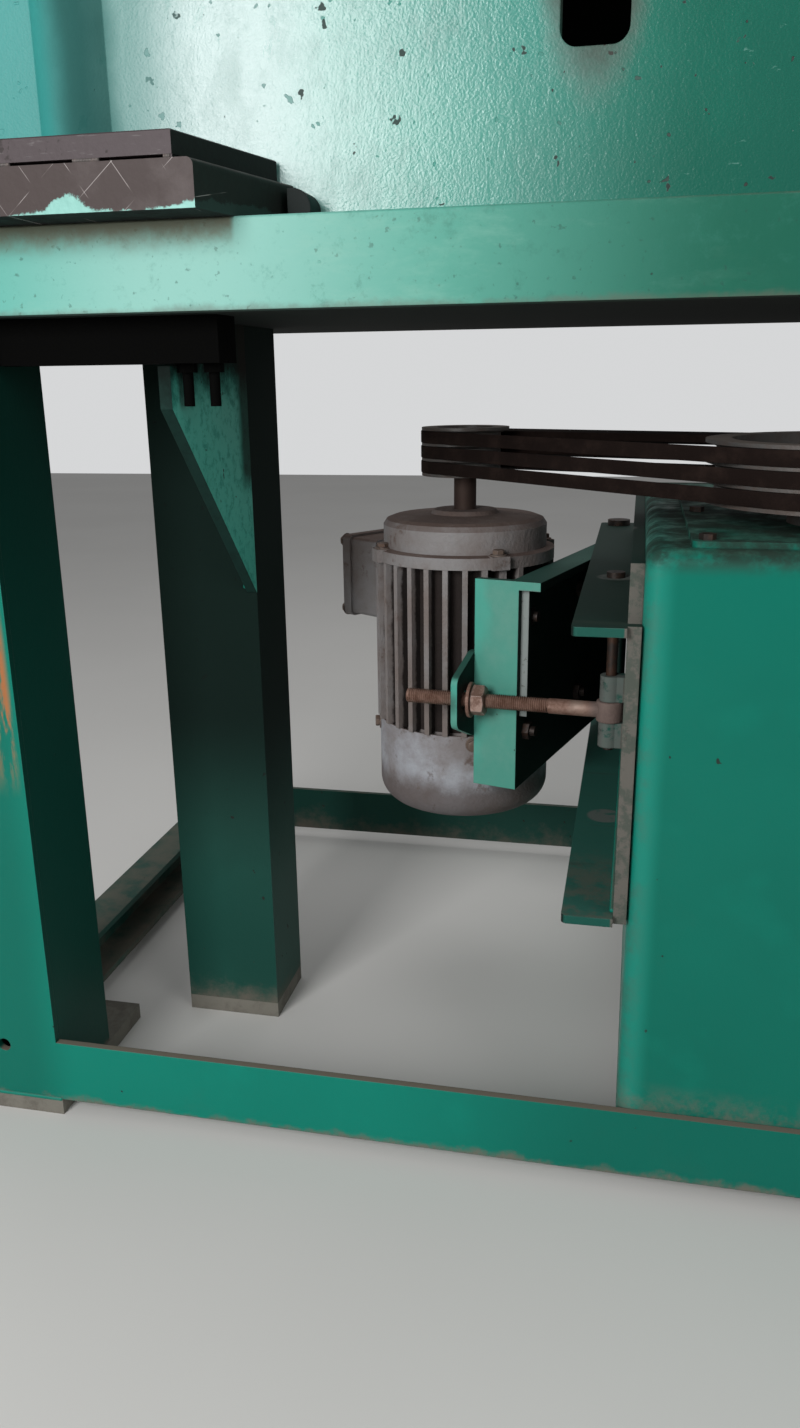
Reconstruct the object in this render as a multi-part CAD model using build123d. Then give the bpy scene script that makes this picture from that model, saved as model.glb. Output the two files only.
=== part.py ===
from build123d import *
import math
import os

# Hydraulic press with a wide frame, a slab bed at table height and, under the bed, an oil tank
# and a belt drive: a motor hangs on a swinging bracket, and a threaded rod tightens the belts.
# Millimetres. X runs to the right, Y to the back and Z up. The origin lies on the floor, at the
# centre of the footprint. "Depth" below is measured backwards from the face of the front frame.
# Cuts run 1 mm past the solid that they open.

# Shared by the fasteners and their holes
HEX_WIDTH_RATIO = 1.6
HEX_HEIGHT_RATIO = 0.65
BOLT_HOLE_EXTRA = 1.0

# Front frame, posts and base rails
BASE_WIDTH = 1290.0
BASE_DEPTH = 808.0
FRAME_PLATE = 8.0
RAIL_HEIGHT = 73.0
SIDE_RAIL_WIDTH = 50.0
POST_WIDTH = 120.0
POST_DEPTH = 108.0
POST_HOLE_DIAMETER = 15.0
POST_HOLE_INSET = 56.0
POST_HOLE_DROP = 10.0
FOOT_THICK = 20.0
FOOT_DEPTH = 200.0
ANCHOR_DIAMETER = 18.0
ANCHOR_INSET_X = 85.0
ANCHOR_INSET_Y = 160.0
REAR_POST_DEPTH = 100.0
REAR_POST_WALL = 8.0
REAR_POST_SETBACK = 235.0
LEFT_REAR_POST_WIDTH = 120.0
LEFT_REAR_POST_INSET = 177.0
RIGHT_REAR_POST_WIDTH = 70.0

# Bed slab and what hangs under it
BED_TOP = 923.0
BED_THICK = 75.0
BED_DEPTH = 460.0
BED_EDGE = 1.5
GUSSET_THICK = 12.0
GUSSET_FRONT = 33.0
GUSSET_NOSE = 40.0
GUSSET_DROP = 290.0
CLAMP_BEAM_HEIGHT = 41.0
CLAMP_BEAM_FRONT = 28.0
CLAMP_BEAM_DEPTH = 44.0
CLAMP_BEAM_OVERHANG = 50.0
CLAMP_BEAM_CLEARANCE = 2.0
CLAMP_BOLT_DIAMETER = 10.0
CLAMP_BOLT_TAIL = 38.0
CLAMP_BOLT_PITCH = 26.0
CLAMP_BOLT_INSET = 14.0

# Lower tool block on the bed
BLOCK_CENTRE_INSET = 190.0
BLOCK_HALF_WIDTH = 175.0
BLOCK_OVERHANG = 52.0
BLOCK_DEPTH = 150.0
BLOCK_HEIGHT = 37.0
BLOCK_SHOULDER = 6.0
BLOCK_PLATE_THICK = 18.0
BLOCK_PLATE_INSET = 17.0
BLOCK_PLATE_EDGE = 1.0
BLOCK_FLARE = 14.0
WELD_GAP = 2.5
WELD_LENGTH = 23.5
WELD_DEPTH = 10.0
WELD_SETBACK = 0.8
WELD_START = 5.0
WELD_PITCH = 79.0
WELD_COUNT = 5
STOP_GAP = 1.0
STOP_LENGTH = 21.0
STOP_DEPTH = 34.0
STOP_HEIGHT = 30.0
STOP_ROUND = 16.0

# Upright body on the bed
BODY_SIDE_INSET = 45.0
BODY_SETBACK = 103.0
BODY_DEPTH = 266.0
BODY_TOP = 1700.0
FRONT_WALL_THICK = 25.0
REAR_WALL_THICK = 12.0
COVER_THICK = 8.0
SLOT_CENTRE_X = 20.0
SLOT_WIDTH = 58.0
SLOT_BOTTOM = 1055.0
SLOT_HEIGHT = 150.0
RIB_RADIUS = 42.0
RIB_PROUD = 20.0
RIB_GAP = 1.0

# Ram, cylinder and head
STROKE = 200.0
SHUT_HEIGHT = 21.0
RAM_DEPTH = 25.0
TOOL_PLATE_WIDTH = 300.0
TOOL_PLATE_DEPTH = 130.0
TOOL_PLATE_THICK = 50.0
TOOL_PLATE_EDGE = 2.0
TOOL_BOLT_DIAMETER = 12.0
TOOL_BOLT_SPACING_X = 240.0
TOOL_BOLT_SPACING_Y = 60.0
TOOL_BOLT_LENGTH = 30.0
ROD_DIAMETER = 80.0
ROD_FLANGE_DIAMETER = 116.0
ROD_FLANGE_THICK = 20.0
PISTON_LENGTH = 45.0
PISTON_HEADROOM = 10.0
CYLINDER_BORE = 110.0
CYLINDER_WALL = 15.0
CYLINDER_CAP = 25.0
CYLINDER_FLANGE_THICK = 30.0
CYLINDER_FLANGE_WIDTH = 214.0
CYLINDER_FLANGE_DEPTH = 146.0
CYLINDER_BOLT_SPACING_X = 176.0
CYLINDER_BOLT_SPACING_Y = 104.0
CYLINDER_BOLT_GRIP = 22.0
GLAND_LENGTH = 45.0
GLAND_RIM = 12.0
GLAND_RIM_DIAMETER = 132.0
RAM_TOP_GAP = 18.0
HEAD_PLATE_THICK = 50.0
HEAD_WIDTH = 222.0
HEAD_FRONT = -46.0
HEAD_GUSSET_THICK = 20.0
HEAD_GUSSET_HEIGHT = 270.0
HEAD_GUSSET_NOSE = 40.0
PORT_LENGTH = 14.0
PORT_DIAMETER = 30.0
PORT_LIFT = 3.0
RUNNING_FIT = 0.05
PISTON_FIT = 0.1

# Hydraulic lines, valve and gauge
PIPE_DIAMETER = 16.0
PIPE_WALL = 2.0
PIPE_BEND = 30.0
PIPE_HOLE = 26.0
PIPE_RUN_DEPTH = 60.0
PIPE_COLLAR_DIAMETER = 30.0
PIPE_COLLAR_THICK = 12.0
RETURN_PIPE_INSET = 62.0
PIPE_PITCH = 42.0
PIPE_PORT_RUN = 20.0
PIPE_JOG = 70.0
RETURN_PIPE_END = 120.0
VALVE_WIDTH = 110.0
VALVE_HEIGHT = 120.0
VALVE_BOTTOM = 1180.0
VALVE_DEPTH = 83.0
VALVE_EDGE = 3.0
LEVER_DIAMETER = 14.0
LEVER_LENGTH = 150.0
LEVER_KNOB_DIAMETER = 34.0
LEVER_PIVOT_DIAMETER = 12.0
LEVER_STANDOFF = 22.0
LEVER_BOSS_WALL = 4.0
GAUGE_DIAMETER = 100.0
GAUGE_DEPTH = 34.0
GAUGE_WALL = 3.0
GAUGE_GAP = 46.0
GAUGE_STEM = 14.0
GAUGE_POST_DIAMETER = 5.0
NEEDLE_LENGTH = 48.0
NEEDLE_TAIL = 12.0
NEEDLE_WIDTH = 2.5
NEEDLE_THICK = 1.2
NEEDLE_HUB_DIAMETER = 10.0

# Oil tank, lid, pump and strainer
TANK_LEFT = 84.0
TANK_SIDE_GAP = 21.0
TANK_GAP = 0.3
TANK_DEPTH = 642.0
TANK_TOP = 650.0
TANK_WALL = 4.0
TANK_CORNER = 14.0
TANK_MOUTH_MARGIN = 26.0
BEARER_WIDTH = 60.0
BEARER_THICK = 12.0
BEARER_HEIGHT = 60.0
LID_INSET_LEFT = 38.0
LID_INSET_RIGHT = 12.0
LID_FRONT = 22.0
LID_DEPTH = 440.0
LID_THICK = 6.0
LID_BOLT_INSET = 13.0
LID_BOLT_DIAMETER = 8.0
LID_BOLT_LENGTH = 20.0
LID_CORNER = 8.0
NECK_DIAMETER = 48.0
NECK_WALL = 4.0
NECK_HEIGHT = 26.0
NECK_INSET = 64.0
NECK_DEPTH = 400.0
CAP_DIAMETER = 64.0
CAP_HEIGHT = 24.0
CAP_WALL = 5.0
CAP_EDGE = 3.0
PUMP_TO_PIPE = 125.0
PUMP_DEPTH = 165.0
PUMP_FLANGE_DIAMETER = 120.0
PUMP_FLANGE_THICK = 14.0
PUMP_DIAMETER = 100.0
PUMP_EDGE = 6.0
PUMP_BOTTOM = 470.0
PUMP_SHAFT_DIAMETER = 28.0
PUMP_SHAFT_SINK = 90.0
STRAINER_DIAMETER = 84.0
STRAINER_LENGTH = 230.0
STRAINER_GROOVES = 7
STRAINER_GROOVE_WIDTH = 8.0
STRAINER_GROOVE_DEPTH = 4.0
STRAINER_NECK_DIAMETER = 34.0
STRAINER_NECK_LENGTH = 40.0

# Hinge plate with its two long ears, on the side of the tank
HINGE_PLATE_THICK = 12.5
HINGE_PLATE_FRONT = 2.0
EAR_WIDTH = 48.5
EAR_THICK = 8.5
EAR_CORNER = 6.0
EAR_UPPER_TOP = 582.5
EAR_LOWER_TOP = 303.0
EAR_LENGTH = 728.0
LUG_PIVOT_REACH = 16.0
LUG_DIAMETER = 24.0
LUG_HEIGHT = 29.0
HINGE_PIN_DIAMETER = 22.0
HINGE_PIN_REACH = 22.5
HINGE_PIN_SETBACK = 701.0
HINGE_PIN_HEAD = 8.0
HINGE_PIN_HEAD_DIAMETER = 32.0
HINGE_PIN_TAIL = 6.0

# Motor bracket, which swings on the hinge pin
BRACKET_YAW = 15.0
BRACKET_LENGTH = 429.0
BRACKET_TOP = 570.0
BRACKET_BOTTOM = 318.0
BRACKET_PLATE = 10.0
BRACKET_FLANGE = 44.0
BRACKET_TUBE_DIAMETER = 38.0
BRACKET_RAIL = 36.0
BRACKET_RAIL_START = 112.0
BACKING_BAR_WIDTH = 7.5
BACKING_BAR_THICK = 9.0
BACKING_BAR_HEIGHT = 156.0
BACKING_BAR_RISE = 42.0
PULL_EAR_HEIGHT = 104.0
PULL_EAR_NOSE = 58.0
PULL_EAR_REACH = 60.0
PULL_EAR_THICK = 8.0
PULL_EAR_CORNER = 12.0
PULL_EAR_HOLE_REACH = 25.0
PULL_EAR_SLOT = 22.0
PULL_EAR_SLOT_LENGTH = 28.0

# Motor, standing on its cowl end, with its feet against the bracket
MOTOR_SHAFT_HEIGHT = 112.0
MOTOR_FROM_FRONT = 124.0
MOTOR_BODY_DIAMETER = 194.0
MOTOR_FIN_DIAMETER = 228.0
MOTOR_FIN_THICK = 6.5
MOTOR_FIN_COUNT = 30
MOTOR_BODY_WALL = 9.0
MOTOR_BODY_BOTTOM = 367.0
MOTOR_BODY_TOP = 574.0
DRIVE_SHIELD_HEIGHT = 60.0
SHIELD_LIP = 10.0
SHIELD_LIP_HEIGHT = 14.0
FAN_SHIELD_HEIGHT = 20.0
COWL_HEIGHT = 115.0
COWL_WALL = 2.5
COWL_CORNER = 30.0
COWL_VENTS = 12
MOTOR_FOOT_SPACING_X = 190.0
MOTOR_FOOT_SPACING_Z = 140.0
MOTOR_FOOT_THICK = 14.0
MOTOR_FOOT_WIDTH = 36.0
MOTOR_FOOT_WEB = 6.5
MOTOR_FOOT_HEIGHT = 36.0
SHIELD_LUG_PROUD = 7.0
SHIELD_LUG_WIDTH = 22.0
FOOT_BOLT_DIAMETER = 12.0
FOOT_BOLT_TAIL = 14.0
STATOR_BORE = 112.0
STATOR_LENGTH = 130.0
ROTOR_GAP = 0.6
SHAFT_DIAMETER = 28.0
SHAFT_END = 722.0
BEARING_DIAMETER = 62.0
BEARING_WIDTH = 16.0
FAN_DIAMETER = 170.0
FAN_BLADES = 6
FAN_HEIGHT = 34.0
FAN_CLEARANCE = 6.0
FAN_DISC = 4.0
TERMINAL_BOX_WIDTH = 96.0
TERMINAL_BOX_HEIGHT = 104.0
TERMINAL_BOX_PROUD = 62.0
TERMINAL_LID_THICK = 14.0
TERMINAL_LID_RIM = 3.0
TERMINAL_BOX_CORNER = 6.0
TERMINAL_BOX_TURN = 72.0
TERMINAL_BOX_TOP = 588.0
CABLE_GLAND_DIAMETER = 24.0

# Belts and pulleys
BELT_COUNT = 3
BELT_PITCH = 18.0
BELT_TOP_WIDTH = 15.0
BELT_HEIGHT = 10.0
BELT_FLANK = 18.0
BELT_PROUD = 1.0
BELT_CLEARANCE = 0.35
PULLEY_EDGE = 11.0
PULLEY_BOTTOM = 676.0
MOTOR_PULLEY_RADIUS = 54.0
DRIVEN_PULLEY_RADIUS = 140.0
DRIVEN_PULLEY_RIM = 24.0
DRIVEN_PULLEY_WEB = 12.0
DRIVEN_PULLEY_HOLES = 5
HUB_WALL = 15.0

# Belt tightener: an eye bolt on an upright pin, and one nut against the bracket's ear
ROD_HEIGHT = 431.0
EYE_BOLT_DIAMETER = 18.0
EYE_BOLT_LENGTH = 239.0
EYE_BOLT_CHAMFER = 1.2
ROD_YAW = 5.7
EYE_DIAMETER = 30.0
EYE_THICK = 24.0
EYE_GAP = 0.35
EYE_PIN_DIAMETER = 12.0
EYE_PIN_HEAD = 6.0
EYE_PIN_HEAD_DIAMETER = 20.0
EYE_PIN_TAIL = 4.0
NUT_ACROSS_FLATS = 32.0
NUT_HEIGHT = 16.0
WASHER_DIAMETER = 42.0
WASHER_THICK = 4.0
WASHER_GAP = 0.6
THREAD_GAP = 0.1
FACE_GAP = 0.3

# Values worked out from the driving sizes
FRONT_Y = (BLOCK_OVERHANG - BASE_DEPTH) / 2
HALF_BASE = BASE_WIDTH / 2
RAIL_TOP = FOOT_THICK + RAIL_HEIGHT
BED_BOTTOM = BED_TOP - BED_THICK
POST_BACK = FRAME_PLATE + POST_DEPTH
WINDOW_HALF = HALF_BASE - POST_WIDTH
LEFT_REAR_POST_RIGHT = -HALF_BASE + LEFT_REAR_POST_INSET + LEFT_REAR_POST_WIDTH
CLAMP_BEAM_RIGHT = LEFT_REAR_POST_RIGHT + CLAMP_BEAM_OVERHANG
BLOCK_CENTRE_X = -HALF_BASE + BLOCK_CENTRE_INSET
BODY_WIDTH = BASE_WIDTH - 2 * BODY_SIDE_INSET
BLOCK_TOP = BED_TOP + BLOCK_HEIGHT + WELD_GAP + BLOCK_PLATE_THICK
TOOL_PLATE_BOTTOM = BLOCK_TOP + SHUT_HEIGHT + STROKE
TOOL_PLATE_TOP = TOOL_PLATE_BOTTOM + TOOL_PLATE_THICK
GLAND_BOTTOM = TOOL_PLATE_TOP + ROD_FLANGE_THICK + RAM_TOP_GAP
CYLINDER_BOTTOM = GLAND_BOTTOM + GLAND_RIM
HEAD_BOTTOM = CYLINDER_BOTTOM + CYLINDER_FLANGE_THICK
HEAD_TOP = HEAD_BOTTOM + HEAD_PLATE_THICK
GLAND_TOP = CYLINDER_BOTTOM + GLAND_LENGTH
LOWER_PORT_Z = HEAD_TOP + PORT_DIAMETER / 2 + PORT_LIFT
PISTON_LOW = LOWER_PORT_Z + PIPE_DIAMETER / 2 + 4.0
PISTON_BOTTOM = PISTON_LOW + STROKE
PISTON_TOP = PISTON_BOTTOM + PISTON_LENGTH
CYLINDER_INSIDE_TOP = PISTON_TOP + PISTON_HEADROOM
CYLINDER_TOP = CYLINDER_INSIDE_TOP + CYLINDER_CAP
UPPER_PORT_Z = CYLINDER_INSIDE_TOP - PIPE_DIAMETER / 2 + 2.0
CYLINDER_RADIUS = CYLINDER_BORE / 2 + CYLINDER_WALL
TANK_RIGHT = WINDOW_HALF - TANK_SIDE_GAP
RETURN_PIPE_X = TANK_RIGHT - RETURN_PIPE_INSET
PRESSURE_PIPE_X = RETURN_PIPE_X - PIPE_PITCH
NECK_X = TANK_RIGHT - NECK_INSET
PUMP_X = PRESSURE_PIPE_X - PUMP_TO_PIPE
VALVE_TOP = VALVE_BOTTOM + VALVE_HEIGHT
VALVE_X = (PRESSURE_PIPE_X + RETURN_PIPE_X) / 2
TANK_FRONT = FRAME_PLATE + TANK_GAP
LID_TOP = TANK_TOP + LID_THICK
LID_LEFT = TANK_LEFT + LID_INSET_LEFT
LID_RIGHT = TANK_RIGHT - LID_INSET_RIGHT
EYE_X = TANK_LEFT - HINGE_PLATE_THICK - LUG_PIVOT_REACH
HINGE_X = TANK_LEFT - HINGE_PLATE_THICK - HINGE_PIN_REACH
MOTOR_FROM_HINGE = BRACKET_LENGTH - MOTOR_FROM_FRONT
EAR_HOLE_ALONG = BRACKET_LENGTH + PULL_EAR_HOLE_REACH
EAR_HOLE_ASIDE = BRACKET_FLANGE + PULL_EAR_THICK / 2
YAW_SINE = math.sin(math.radians(BRACKET_YAW))
YAW_COSINE = math.cos(math.radians(BRACKET_YAW))
EAR_HOLE_X = HINGE_X - EAR_HOLE_ALONG * YAW_SINE - EAR_HOLE_ASIDE * YAW_COSINE
EAR_HOLE_DEPTH = HINGE_PIN_SETBACK - EAR_HOLE_ALONG * YAW_COSINE + EAR_HOLE_ASIDE * YAW_SINE
EYE_DEPTH = EAR_HOLE_DEPTH - (EYE_X - EAR_HOLE_X) * math.tan(math.radians(ROD_YAW))
PULLEY_HEIGHT = 2 * PULLEY_EDGE + (BELT_COUNT - 1) * BELT_PITCH


def depth(value):
    """Y of a point that lies this far behind the face of the front frame."""
    return FRONT_Y + value


def block(x0, x1, d0, d1, z0, z1):
    """A rectangular solid between two X, two depths and two heights."""
    centre = Pos((x0 + x1) / 2, depth((d0 + d1) / 2), (z0 + z1) / 2)
    return centre * Box(x1 - x0, d1 - d0, z1 - z0)


def upright(x, d, z0, z1, diameter):
    """A round upright bar at one place, between two heights."""
    return Pos(x, depth(d), (z0 + z1) / 2) * Cylinder(diameter / 2, z1 - z0)


def hex_head(across, height):
    """A hexagon bolt head or nut blank that stands on its origin."""
    return extrude(RegularPolygon(across / 2, 6, major_radius=False), height)


def bolt_down(x, d, z, diameter, length):
    """A bolt whose head seats on height z and whose shank reaches down."""
    head = Pos(x, depth(d), z) * hex_head(diameter * HEX_WIDTH_RATIO, diameter * HEX_HEIGHT_RATIO)
    return head + upright(x, d, z - length, z, diameter)


def bolt_up(x, d, z, diameter, length):
    """A bolt whose head seats under height z and whose shank reaches up."""
    head_height = diameter * HEX_HEIGHT_RATIO
    head = Pos(x, depth(d), z - head_height) * hex_head(diameter * HEX_WIDTH_RATIO, head_height)
    return head + upright(x, d, z, z + length, diameter)


def tube(points, outer, wall, bend):
    """A pipe along straight runs that are joined by round bends."""
    route = FilletPolyline(*points, radius=bend) if len(points) > 2 else Line(*points)
    start = Plane(origin=route @ 0, z_dir=route % 0)
    ring = Circle(outer / 2) - Circle(outer / 2 - wall)
    return sweep(start * ring, path=route)


# Front frame: the base rail and both posts are cut from one plate
def make_front_frame():
    plate = block(-HALF_BASE, HALF_BASE, 0, FRAME_PLATE, FOOT_THICK, BED_BOTTOM)
    window = block(-WINDOW_HALF, WINDOW_HALF, -1, FRAME_PLATE + 1, RAIL_TOP, BED_BOTTOM + 1)
    frame = plate - window
    for side in (-1, 1):
        hole = Cylinder(POST_HOLE_DIAMETER / 2, 3 * FRAME_PLATE, rotation=(90, 0, 0))
        place = Pos(side * (HALF_BASE - POST_HOLE_INSET), depth(0), RAIL_TOP - POST_HOLE_DROP)
        frame -= place * hole
    return frame


def make_front_post(side):
    """The folded channel that closes one front post from behind."""
    x0, x1 = sorted((side * HALF_BASE, side * WINDOW_HALF))
    outer = block(x0, x1, FRAME_PLATE, POST_BACK, FOOT_THICK, BED_BOTTOM)
    inner = block(
        x0 + FRAME_PLATE, x1 - FRAME_PLATE,
        FRAME_PLATE - 1, POST_BACK - FRAME_PLATE, FOOT_THICK - 1, BED_BOTTOM + 1,
    )
    return outer - inner


def make_side_rail(side):
    """A channel on the floor line, open towards the middle."""
    x_out = side * HALF_BASE
    x_in = side * (HALF_BASE - SIDE_RAIL_WIDTH)
    x0, x1 = sorted((x_out, x_in))
    back = BASE_DEPTH - FRAME_PLATE
    rail = block(x0, x1, POST_BACK, back, FOOT_THICK, RAIL_TOP)
    x2, x3 = sorted((x_out - side * FRAME_PLATE, x_in - side))
    return rail - block(x2, x3, POST_BACK - 1, back + 1, FOOT_THICK + FRAME_PLATE, RAIL_TOP - FRAME_PLATE)


def make_rear_rail():
    return block(-HALF_BASE, HALF_BASE, BASE_DEPTH - FRAME_PLATE, BASE_DEPTH, FOOT_THICK, RAIL_TOP)


def rear_post_span(side):
    """The two X faces of a rear post: the left one stands inboard, the right one beside the tank."""
    if side < 0:
        return LEFT_REAR_POST_RIGHT - LEFT_REAR_POST_WIDTH, LEFT_REAR_POST_RIGHT
    x1 = HALF_BASE - SIDE_RAIL_WIDTH
    return x1 - RIGHT_REAR_POST_WIDTH, x1


def make_rear_post(side):
    x0, x1 = rear_post_span(side)
    d0 = REAR_POST_SETBACK
    d1 = d0 + REAR_POST_DEPTH
    wall = REAR_POST_WALL
    outer = block(x0, x1, d0, d1, FOOT_THICK, BED_BOTTOM)
    return outer - block(x0 + wall, x1 - wall, d0 + wall, d1 - wall, FOOT_THICK - 1, BED_BOTTOM + 1)


def anchor_places():
    """X and depth of the four floor anchors."""
    x = HALF_BASE - ANCHOR_INSET_X
    return [(sx * x, d) for sx in (-1, 1) for d in (ANCHOR_INSET_Y, BASE_DEPTH - ANCHOR_INSET_Y)]


def make_foot_pads():
    pads = []
    for side in (-1, 1):
        x0, x1 = sorted((side * HALF_BASE, side * WINDOW_HALF))
        pads.append(block(x0, x1, 0, FOOT_DEPTH, 0, FOOT_THICK))
        pads.append(block(x0, x1, BASE_DEPTH - FOOT_DEPTH, BASE_DEPTH, 0, FOOT_THICK))
        p0, p1 = rear_post_span(side)
        pads.append(block(p0, p1, REAR_POST_SETBACK, REAR_POST_SETBACK + REAR_POST_DEPTH, 0, FOOT_THICK))
    drilled = []
    for pad in pads:
        for x, d in anchor_places():
            pad = pad - upright(x, d, -1, FOOT_THICK + 1, ANCHOR_DIAMETER)
        drilled.append(pad)
    return Compound(drilled)


def make_tank_bearers():
    """Two flat bars under the tank, from the front frame to the rear rail."""
    bars = []
    for centre in (TANK_LEFT + BEARER_WIDTH, TANK_RIGHT - BEARER_WIDTH):
        bars.append(block(
            centre - BEARER_WIDTH / 2, centre + BEARER_WIDTH / 2,
            FRAME_PLATE, BASE_DEPTH - FRAME_PLATE, BEARER_HEIGHT - BEARER_THICK, BEARER_HEIGHT,
        ))
    return Compound(bars)


# Bed slab, its gusset, and the clamp beam with the bolts that hold the block
def clamp_bolt_places():
    """X and depth of the two bolts at the right end of the clamp beam."""
    d = CLAMP_BEAM_FRONT + CLAMP_BEAM_DEPTH / 2
    first = CLAMP_BEAM_RIGHT - CLAMP_BOLT_INSET
    return [(first, d), (first - CLAMP_BOLT_PITCH, d)]


def make_bed():
    bed = block(-HALF_BASE, HALF_BASE, 0, BED_DEPTH, BED_BOTTOM, BED_TOP)
    for x, d in clamp_bolt_places():
        bed -= upright(x, d, BED_BOTTOM - 1, BED_TOP + 1, CLAMP_BOLT_DIAMETER + BOLT_HOLE_EXTRA)
    for x in (PRESSURE_PIPE_X, RETURN_PIPE_X):
        bed -= upright(x, PIPE_RUN_DEPTH, BED_BOTTOM - 1, BED_TOP + 1, PIPE_HOLE)
    front_edges = bed.edges().filter_by(Axis.X).group_by(Axis.Y)[0]
    return chamfer(front_edges, BED_EDGE)


def make_bed_gusset():
    """A plate with a sloping nose between the bed and the left rear post."""
    x1 = LEFT_REAR_POST_RIGHT
    d0 = GUSSET_FRONT
    d1 = REAR_POST_SETBACK
    clear = CLAMP_BEAM_FRONT + CLAMP_BEAM_DEPTH + CLAMP_BEAM_CLEARANCE
    under_beam = BED_BOTTOM - CLAMP_BEAM_HEIGHT - CLAMP_BEAM_CLEARANCE
    outline = [
        (depth(clear), BED_BOTTOM),
        (depth(d1), BED_BOTTOM),
        (depth(d1), BED_BOTTOM - GUSSET_DROP),
        (depth(d0), BED_BOTTOM - CLAMP_BEAM_HEIGHT - GUSSET_NOSE),
        (depth(d0), under_beam),
        (depth(clear), under_beam),
    ]
    face = Plane.YZ * make_face(Polyline(*outline, close=True))
    return Pos(x1 - GUSSET_THICK, 0, 0) * extrude(face, GUSSET_THICK, dir=(1, 0, 0))


def make_clamp_beam():
    low = BED_BOTTOM - CLAMP_BEAM_HEIGHT
    back = CLAMP_BEAM_FRONT + CLAMP_BEAM_DEPTH
    beam = block(-WINDOW_HALF, CLAMP_BEAM_RIGHT, CLAMP_BEAM_FRONT, back, low, BED_BOTTOM)
    for x, d in clamp_bolt_places():
        beam -= upright(x, d, low - 1, BED_BOTTOM + 1, CLAMP_BOLT_DIAMETER + BOLT_HOLE_EXTRA)
    return beam


def make_clamp_bolts():
    """Studs from the block down through bed and beam, each with a nut under the beam."""
    bolts = []
    low = BED_BOTTOM - CLAMP_BEAM_HEIGHT
    nut_height = CLAMP_BOLT_DIAMETER * 0.8
    across = CLAMP_BOLT_DIAMETER * HEX_WIDTH_RATIO
    for x, d in clamp_bolt_places():
        stud = upright(x, d, low - CLAMP_BOLT_TAIL, BED_TOP, CLAMP_BOLT_DIAMETER)
        nut = Pos(x, depth(d), low - nut_height) * Rot(0, 0, 30) * hex_head(across, nut_height)
        bolts.append(stud + nut)
    return Compound(bolts)


# Lower tool block: a body on the bed and a bare steel plate stitch-welded on it
def flared_prism(half_front, d0, d1, z0, z1, flare):
    """A prism whose sides spread towards the back by the flare angle."""
    spread = (d1 - d0) * math.tan(math.radians(flare))
    x = BLOCK_CENTRE_X
    left_back = x - half_front
    outline = [
        (x - half_front, depth(d0)),
        (x + half_front, depth(d0)),
        (x + half_front + spread, depth(d1)),
        (left_back, depth(d1)),
    ]
    return Pos(0, 0, z0) * extrude(make_face(Polyline(*outline, close=True)), z1 - z0, dir=(0, 0, 1))


def rib_space(z0, z1):
    """The round room that block and ram plate leave for the rib of the wall."""
    centre_depth = BODY_SETBACK + RIB_RADIUS - RIB_PROUD
    return upright(BLOCK_CENTRE_X, centre_depth, z0 - 1, z1 + 1, 2 * (RIB_RADIUS + RIB_GAP))


def make_block_body():
    """The body under the plate, with a rounded shoulder along each side."""
    z1 = BED_TOP + BLOCK_HEIGHT
    back = BLOCK_DEPTH - BLOCK_OVERHANG
    body = flared_prism(BLOCK_HALF_WIDTH, -BLOCK_OVERHANG, back, BED_TOP, z1, BLOCK_FLARE)
    top_edges = body.edges().group_by(Axis.Z)[-1].sort_by(Axis.X)
    return fillet([top_edges[0], top_edges[-1]], BLOCK_SHOULDER) - rib_space(BED_TOP, z1)


def make_block_plate():
    """The plate, with the weld runs that hold it a little above the body."""
    z0 = BED_TOP + BLOCK_HEIGHT + WELD_GAP
    half = BLOCK_HALF_WIDTH - BLOCK_PLATE_INSET
    back = BLOCK_DEPTH - BLOCK_OVERHANG
    plate = flared_prism(half, -BLOCK_OVERHANG, back, z0, BLOCK_TOP, BLOCK_FLARE)
    plate = chamfer(plate.edges().group_by(Axis.Z)[-1], BLOCK_PLATE_EDGE)
    left = BLOCK_CENTRE_X - half
    right = BLOCK_CENTRE_X + half
    for i in range(WELD_COUNT):
        x = right + WELD_START - i * WELD_PITCH
        x0 = max(x - WELD_LENGTH / 2, left)
        x1 = min(x + WELD_LENGTH / 2, right)
        for d0 in (WELD_SETBACK - BLOCK_OVERHANG, back - WELD_DEPTH - WELD_SETBACK):
            plate += block(x0, x1, d0, d0 + WELD_DEPTH, z0 - WELD_GAP, z0 + 1)
    return plate - rib_space(z0 - WELD_GAP, BLOCK_TOP)


def make_block_stop():
    """The rounded stop that stands behind the block's right corner, against the wall."""
    spread = BLOCK_DEPTH * math.tan(math.radians(BLOCK_FLARE))
    x0 = BLOCK_CENTRE_X + BLOCK_HALF_WIDTH + spread + STOP_GAP
    front = BODY_SETBACK - STOP_DEPTH
    stop = block(x0, x0 + STOP_LENGTH, front, BODY_SETBACK, BED_TOP, BED_TOP + STOP_HEIGHT)
    edge = stop.edges().filter_by(Axis.Y).group_by(Axis.Z)[-1].sort_by(Axis.X)[-1]
    return fillet(edge, STOP_ROUND)


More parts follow.
